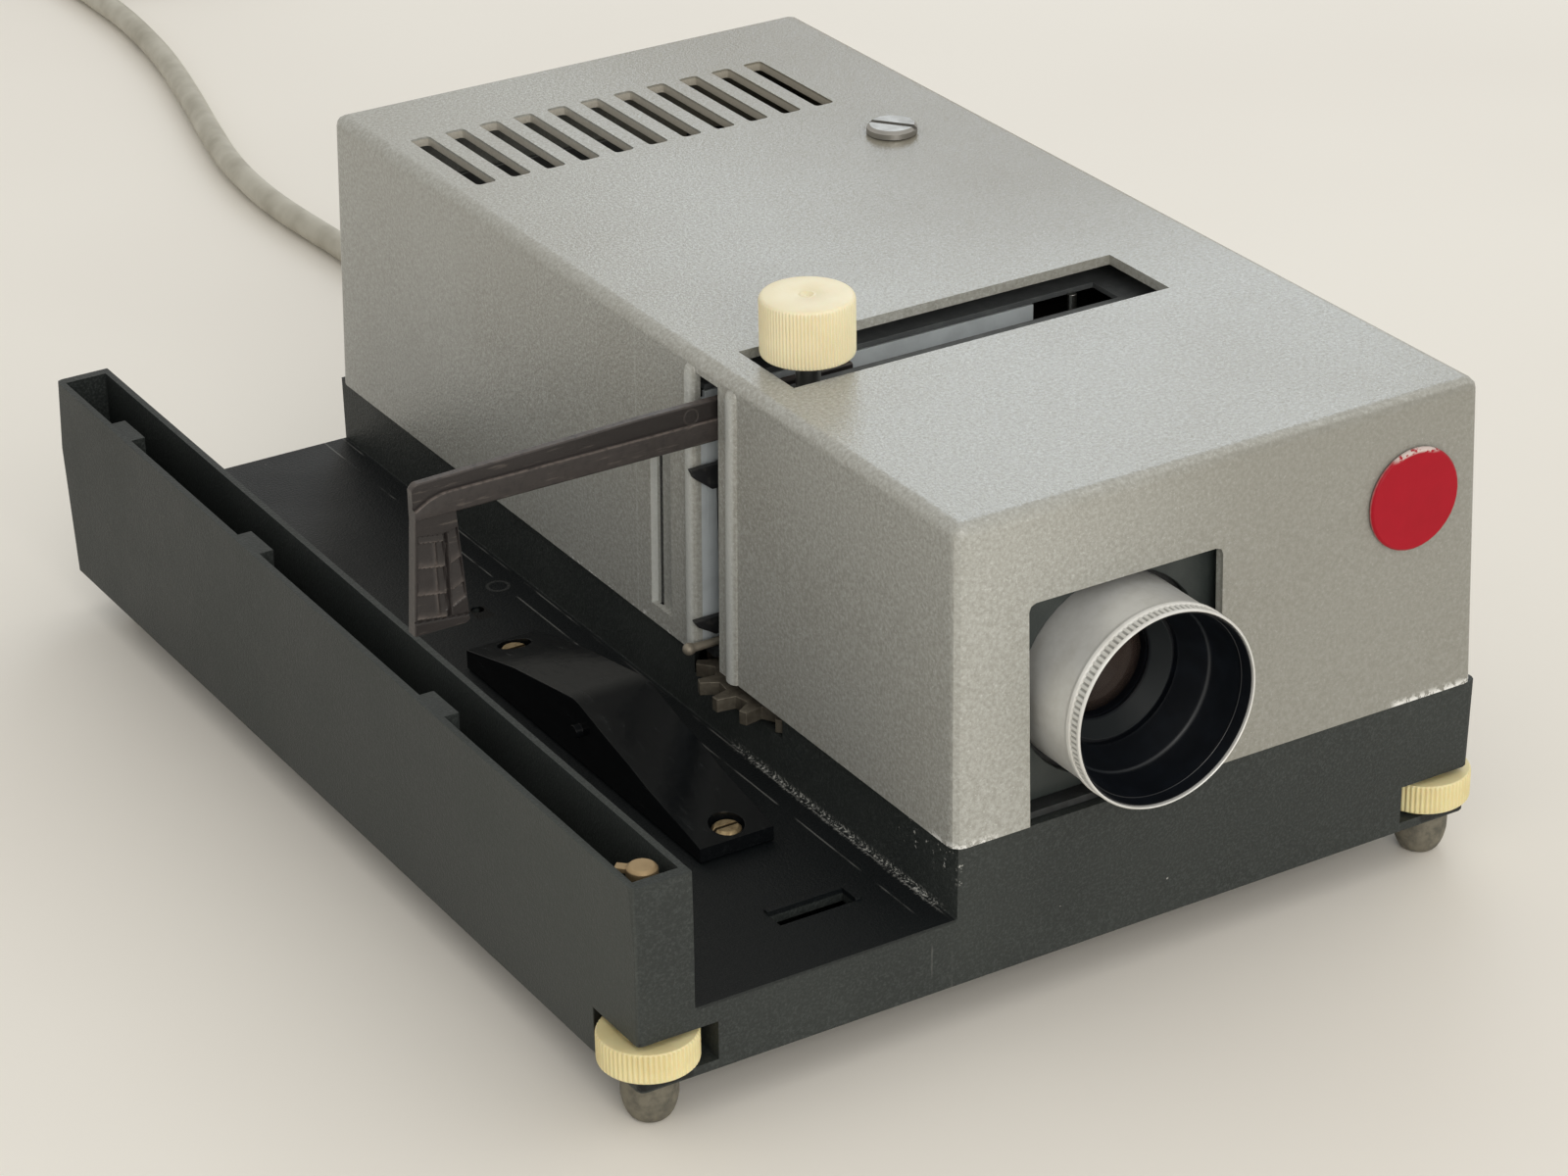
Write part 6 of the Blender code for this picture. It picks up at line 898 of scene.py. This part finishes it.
# Pale along the steps' edges and the ridge: partly wear, partly painted highlight.
pale = np.where(left_panel & (tilted > lines[0]), np.exp(-climb / 0.10) * 0.6, 0.0) + 0.25 * ridge
pale = pale + np.where(right_panel & (tilted_right > other_lines[0]),
                       np.exp(-climb_right / 0.12) * 0.35, 0.0)
front_face = np.stack((grip_x, GRIP_FRONT + sunk, np.broadcast_to(grip_z, grip_x.shape),
                       np.clip(pale, 0, 1)), -1)
right_edge = np.stack((grip_right, np.full_like(grip_right, ARM_BACK), grip_z,
                       np.zeros_like(grip_z)), -1)
left_edge = np.stack((grip_left, np.full_like(grip_left, ARM_BACK), grip_z,
                      np.full_like(grip_z, 0.03)), -1)
left_front = left_edge + np.array((0, GRIP_FRONT + 0.0002 - ARM_BACK, 0, 0.08))
front_face[:, 0, 0] += 0.0002
grip_grid = np.concatenate((front_face, right_edge, left_edge, left_front), 1)
grip = surface("changer_grip", grip_grid[..., :3], arm_brown, crease=25)
store_rubbing_and_highlights(grip, grip_grid[..., 3])
for piece in (arm_bar, grip):
    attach(piece, "changer")
    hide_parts("changer_arm")


# The index knob on its shaft through the top opening: a ribbed ivory cap with a small dimple.
# Below the chassis the shaft turns the star wheel that steps the magazine.
KNOB_X, KNOB_Y = -0.00975, -0.0435
KNOB_RIBS = 80
knob_cream = cream("knob_plastic", tone(246, 236, 201), tone(240, 228, 190))
KNOB_ROWS = (
    (0.0031, 0.1103), (0.0090, 0.1103), (0.0095, 0.1104), (0.0097, 0.1106, 0.4),
    (0.0098, 0.1110, 1.0), (0.0098, 0.1150, 1.0), (0.0098, 0.1190, 1.0), (0.0098, 0.1218, 1.0),
    (0.00977, 0.12215, 0.8), (0.00968, 0.12245, 0.3), (0.00952, 0.1227, 0.1),
    (0.0093, 0.12288), (0.0089, 0.12298), (0.0060, 0.1230), (0.0022, 0.1230),
    (0.0019, 0.12292), (0.0016, 0.12292), (0.0014, 0.1230), (0.0010, 0.1228),
    (0.0005, 0.12262), (0.0001, 0.1226), (0.0001, 0.1191), (0.0031, 0.1191))
knob = lathe("index_knob_cap", KNOB_ROWS, (KNOB_X, KNOB_Y, 0), "Z", 8 * KNOB_RIBS, knob_cream,
             "ring", KNOB_RIBS, 0.00036, 1.6)
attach(knob, "index")
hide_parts("index_knob")
zinc = Finish("star_zinc", metallic=0.45)
tarnish = zinc.cloud(0.0030, 4, 0.6).rise(0.35, 0.7)
zinc.set("Base Color", zinc.blend(tarnish, tone(112, 106, 94), tone(84, 78, 68)))
zinc.set("Roughness", 0.38 + 0.18 * tarnish)
zinc.relief(zinc.cloud(0.0008, 3, 0.6), 0.00010)
eased("star_wheel", 0.0003, zinc)
eased("index_shaft", 0.0, steel)
catch_metal = brushed("catch_metal", tone(150, 142, 128), 0.42, 0.0006, metallic=0.5)
eased("magazine_catch", 0.0003, catch_metal)


# The ramp that lifts the magazine: a glossy black moulding, worn by sliding, held down by two
# slotted brass screws.
ramp_black = Finish("ramp_plastic", roughness=0.2, Specular_IOR_Level=0.22)
slid = ramp_black.cloud(0.0012, 3, 0.6, (1, 14, 1)).rise(0.50, 0.80)
ramp_black.set("Base Color", ramp_black.blend(slid * 0.30, tone(14, 16, 18), tone(40, 44, 45)))
ramp_black.set("Roughness", 0.16 + 0.16 * slid)
ramp_black.relief(ramp_black.cloud(0.004, 2), 0.00005)
eased("magazine_ramp", 0.0004, ramp_black)
RAMP_SCREWS_Y = (0.0129, -0.0757)
slotted_brass = Finish("ramp_screw_brass", metallic=0.8, roughness=0.42)
y = slotted_brass.along(1)
tarnish = slotted_brass.cloud(0.0012, 4, 0.6).rise(0.40, 0.75)
worn_brass = slotted_brass.blend(tarnish, tone(176, 156, 120), tone(132, 112, 82))
# Painted shade: a dark band is painted where each screw's slot is.
slot_painted_shade = slotted_brass.maths(
    "MAXIMUM", *((y - place).band(0, 0.00035, 0.00015) for place in RAMP_SCREWS_Y))
slotted_brass.set("Base Color", slotted_brass.blend(slot_painted_shade, worn_brass, tone(38, 27, 18)))
slotted_brass.set("Roughness", 0.38 + 0.20 * tarnish)
slotted_brass.relief(tarnish, 0.00004)
for screw in ("front_ramp_screw", "rear_ramp_screw"):
    eased(screw, 0.00015, slotted_brass)


# The light: a spun condenser tube with two lenses and a heat glass, and behind it the sheet
# metal lamp house with the halogen lamp in its socket and the silvered mirror.
house_metal = brushed("lamp_house_metal", tone(150, 151, 150), 0.40, 0.0010, (1, 8, 1), 0.12)
eased("condenser_tube", 0.0, dark_paint)
for glass in ("front_condenser", "rear_condenser", "heat_filter", "lamp_bulb"):
    eased(glass, 0.0, clear_glass, crease=60)
eased("lamp_house", 0.0002, house_metal)
ceramic = Finish("socket_ceramic", roughness=0.5)
ceramic.set("Base Color", ceramic.blend(ceramic.cloud(0.004, 3), tone(206, 198, 182),
                                        tone(186, 176, 158)))
ceramic.relief(ceramic.cloud(0.0006, 2), 0.00005)
eased("lamp_socket", 0.0003, ceramic)
silver = brushed("mirror_silver", tone(226, 227, 226), 0.08, 0.002, spread=0.04)
eased("lamp_mirror", 0.0, silver)


# The power side: a laminated transformer core and its varnished copper winding, the terminal
# block, and the lead between them.
laminations = Finish("core_laminations", metallic=0.7)
sheets = laminations.cloud(0.0005, 2, 0.6, (30, 1, 30))
laminations.set("Base Color", laminations.blend(sheets, tone(92, 88, 84), tone(52, 50, 50)))
laminations.set("Roughness", 0.42 + 0.2 * sheets)
laminations.relief(sheets, 0.00012)
eased("transformer_core", 0.0003, laminations)
varnish = Finish("winding_varnish", metallic=0.6, roughness=0.35)
wires = varnish.cloud(0.00045, 2, 0.5, (30, 30, 1))
varnish.set("Base Color", varnish.blend(wires, tone(176, 104, 62), tone(112, 58, 34)))
varnish.relief(wires, 0.00020)
eased("transformer_winding", 0.0006, varnish)
bakelite = Finish("terminal_bakelite", roughness=0.35)
bakelite.set("Base Color", bakelite.blend(bakelite.cloud(0.002, 4), tone(44, 34, 30),
                                          tone(62, 48, 42)))
bakelite.relief(bakelite.cloud(0.0008, 2), 0.00004)
eased("terminal_block", 0.0003, bakelite)
nodes["primary_lead"].data.materials.clear()
nodes["primary_lead"].data.materials.append(lead_plastic.material)


# The mains switch in the back: a black housing with a rocker that tips about two pins.
eased("switch_housing", 0.0003, black_moulding)
eased("switch_rocker", 0.0003, black_moulding)
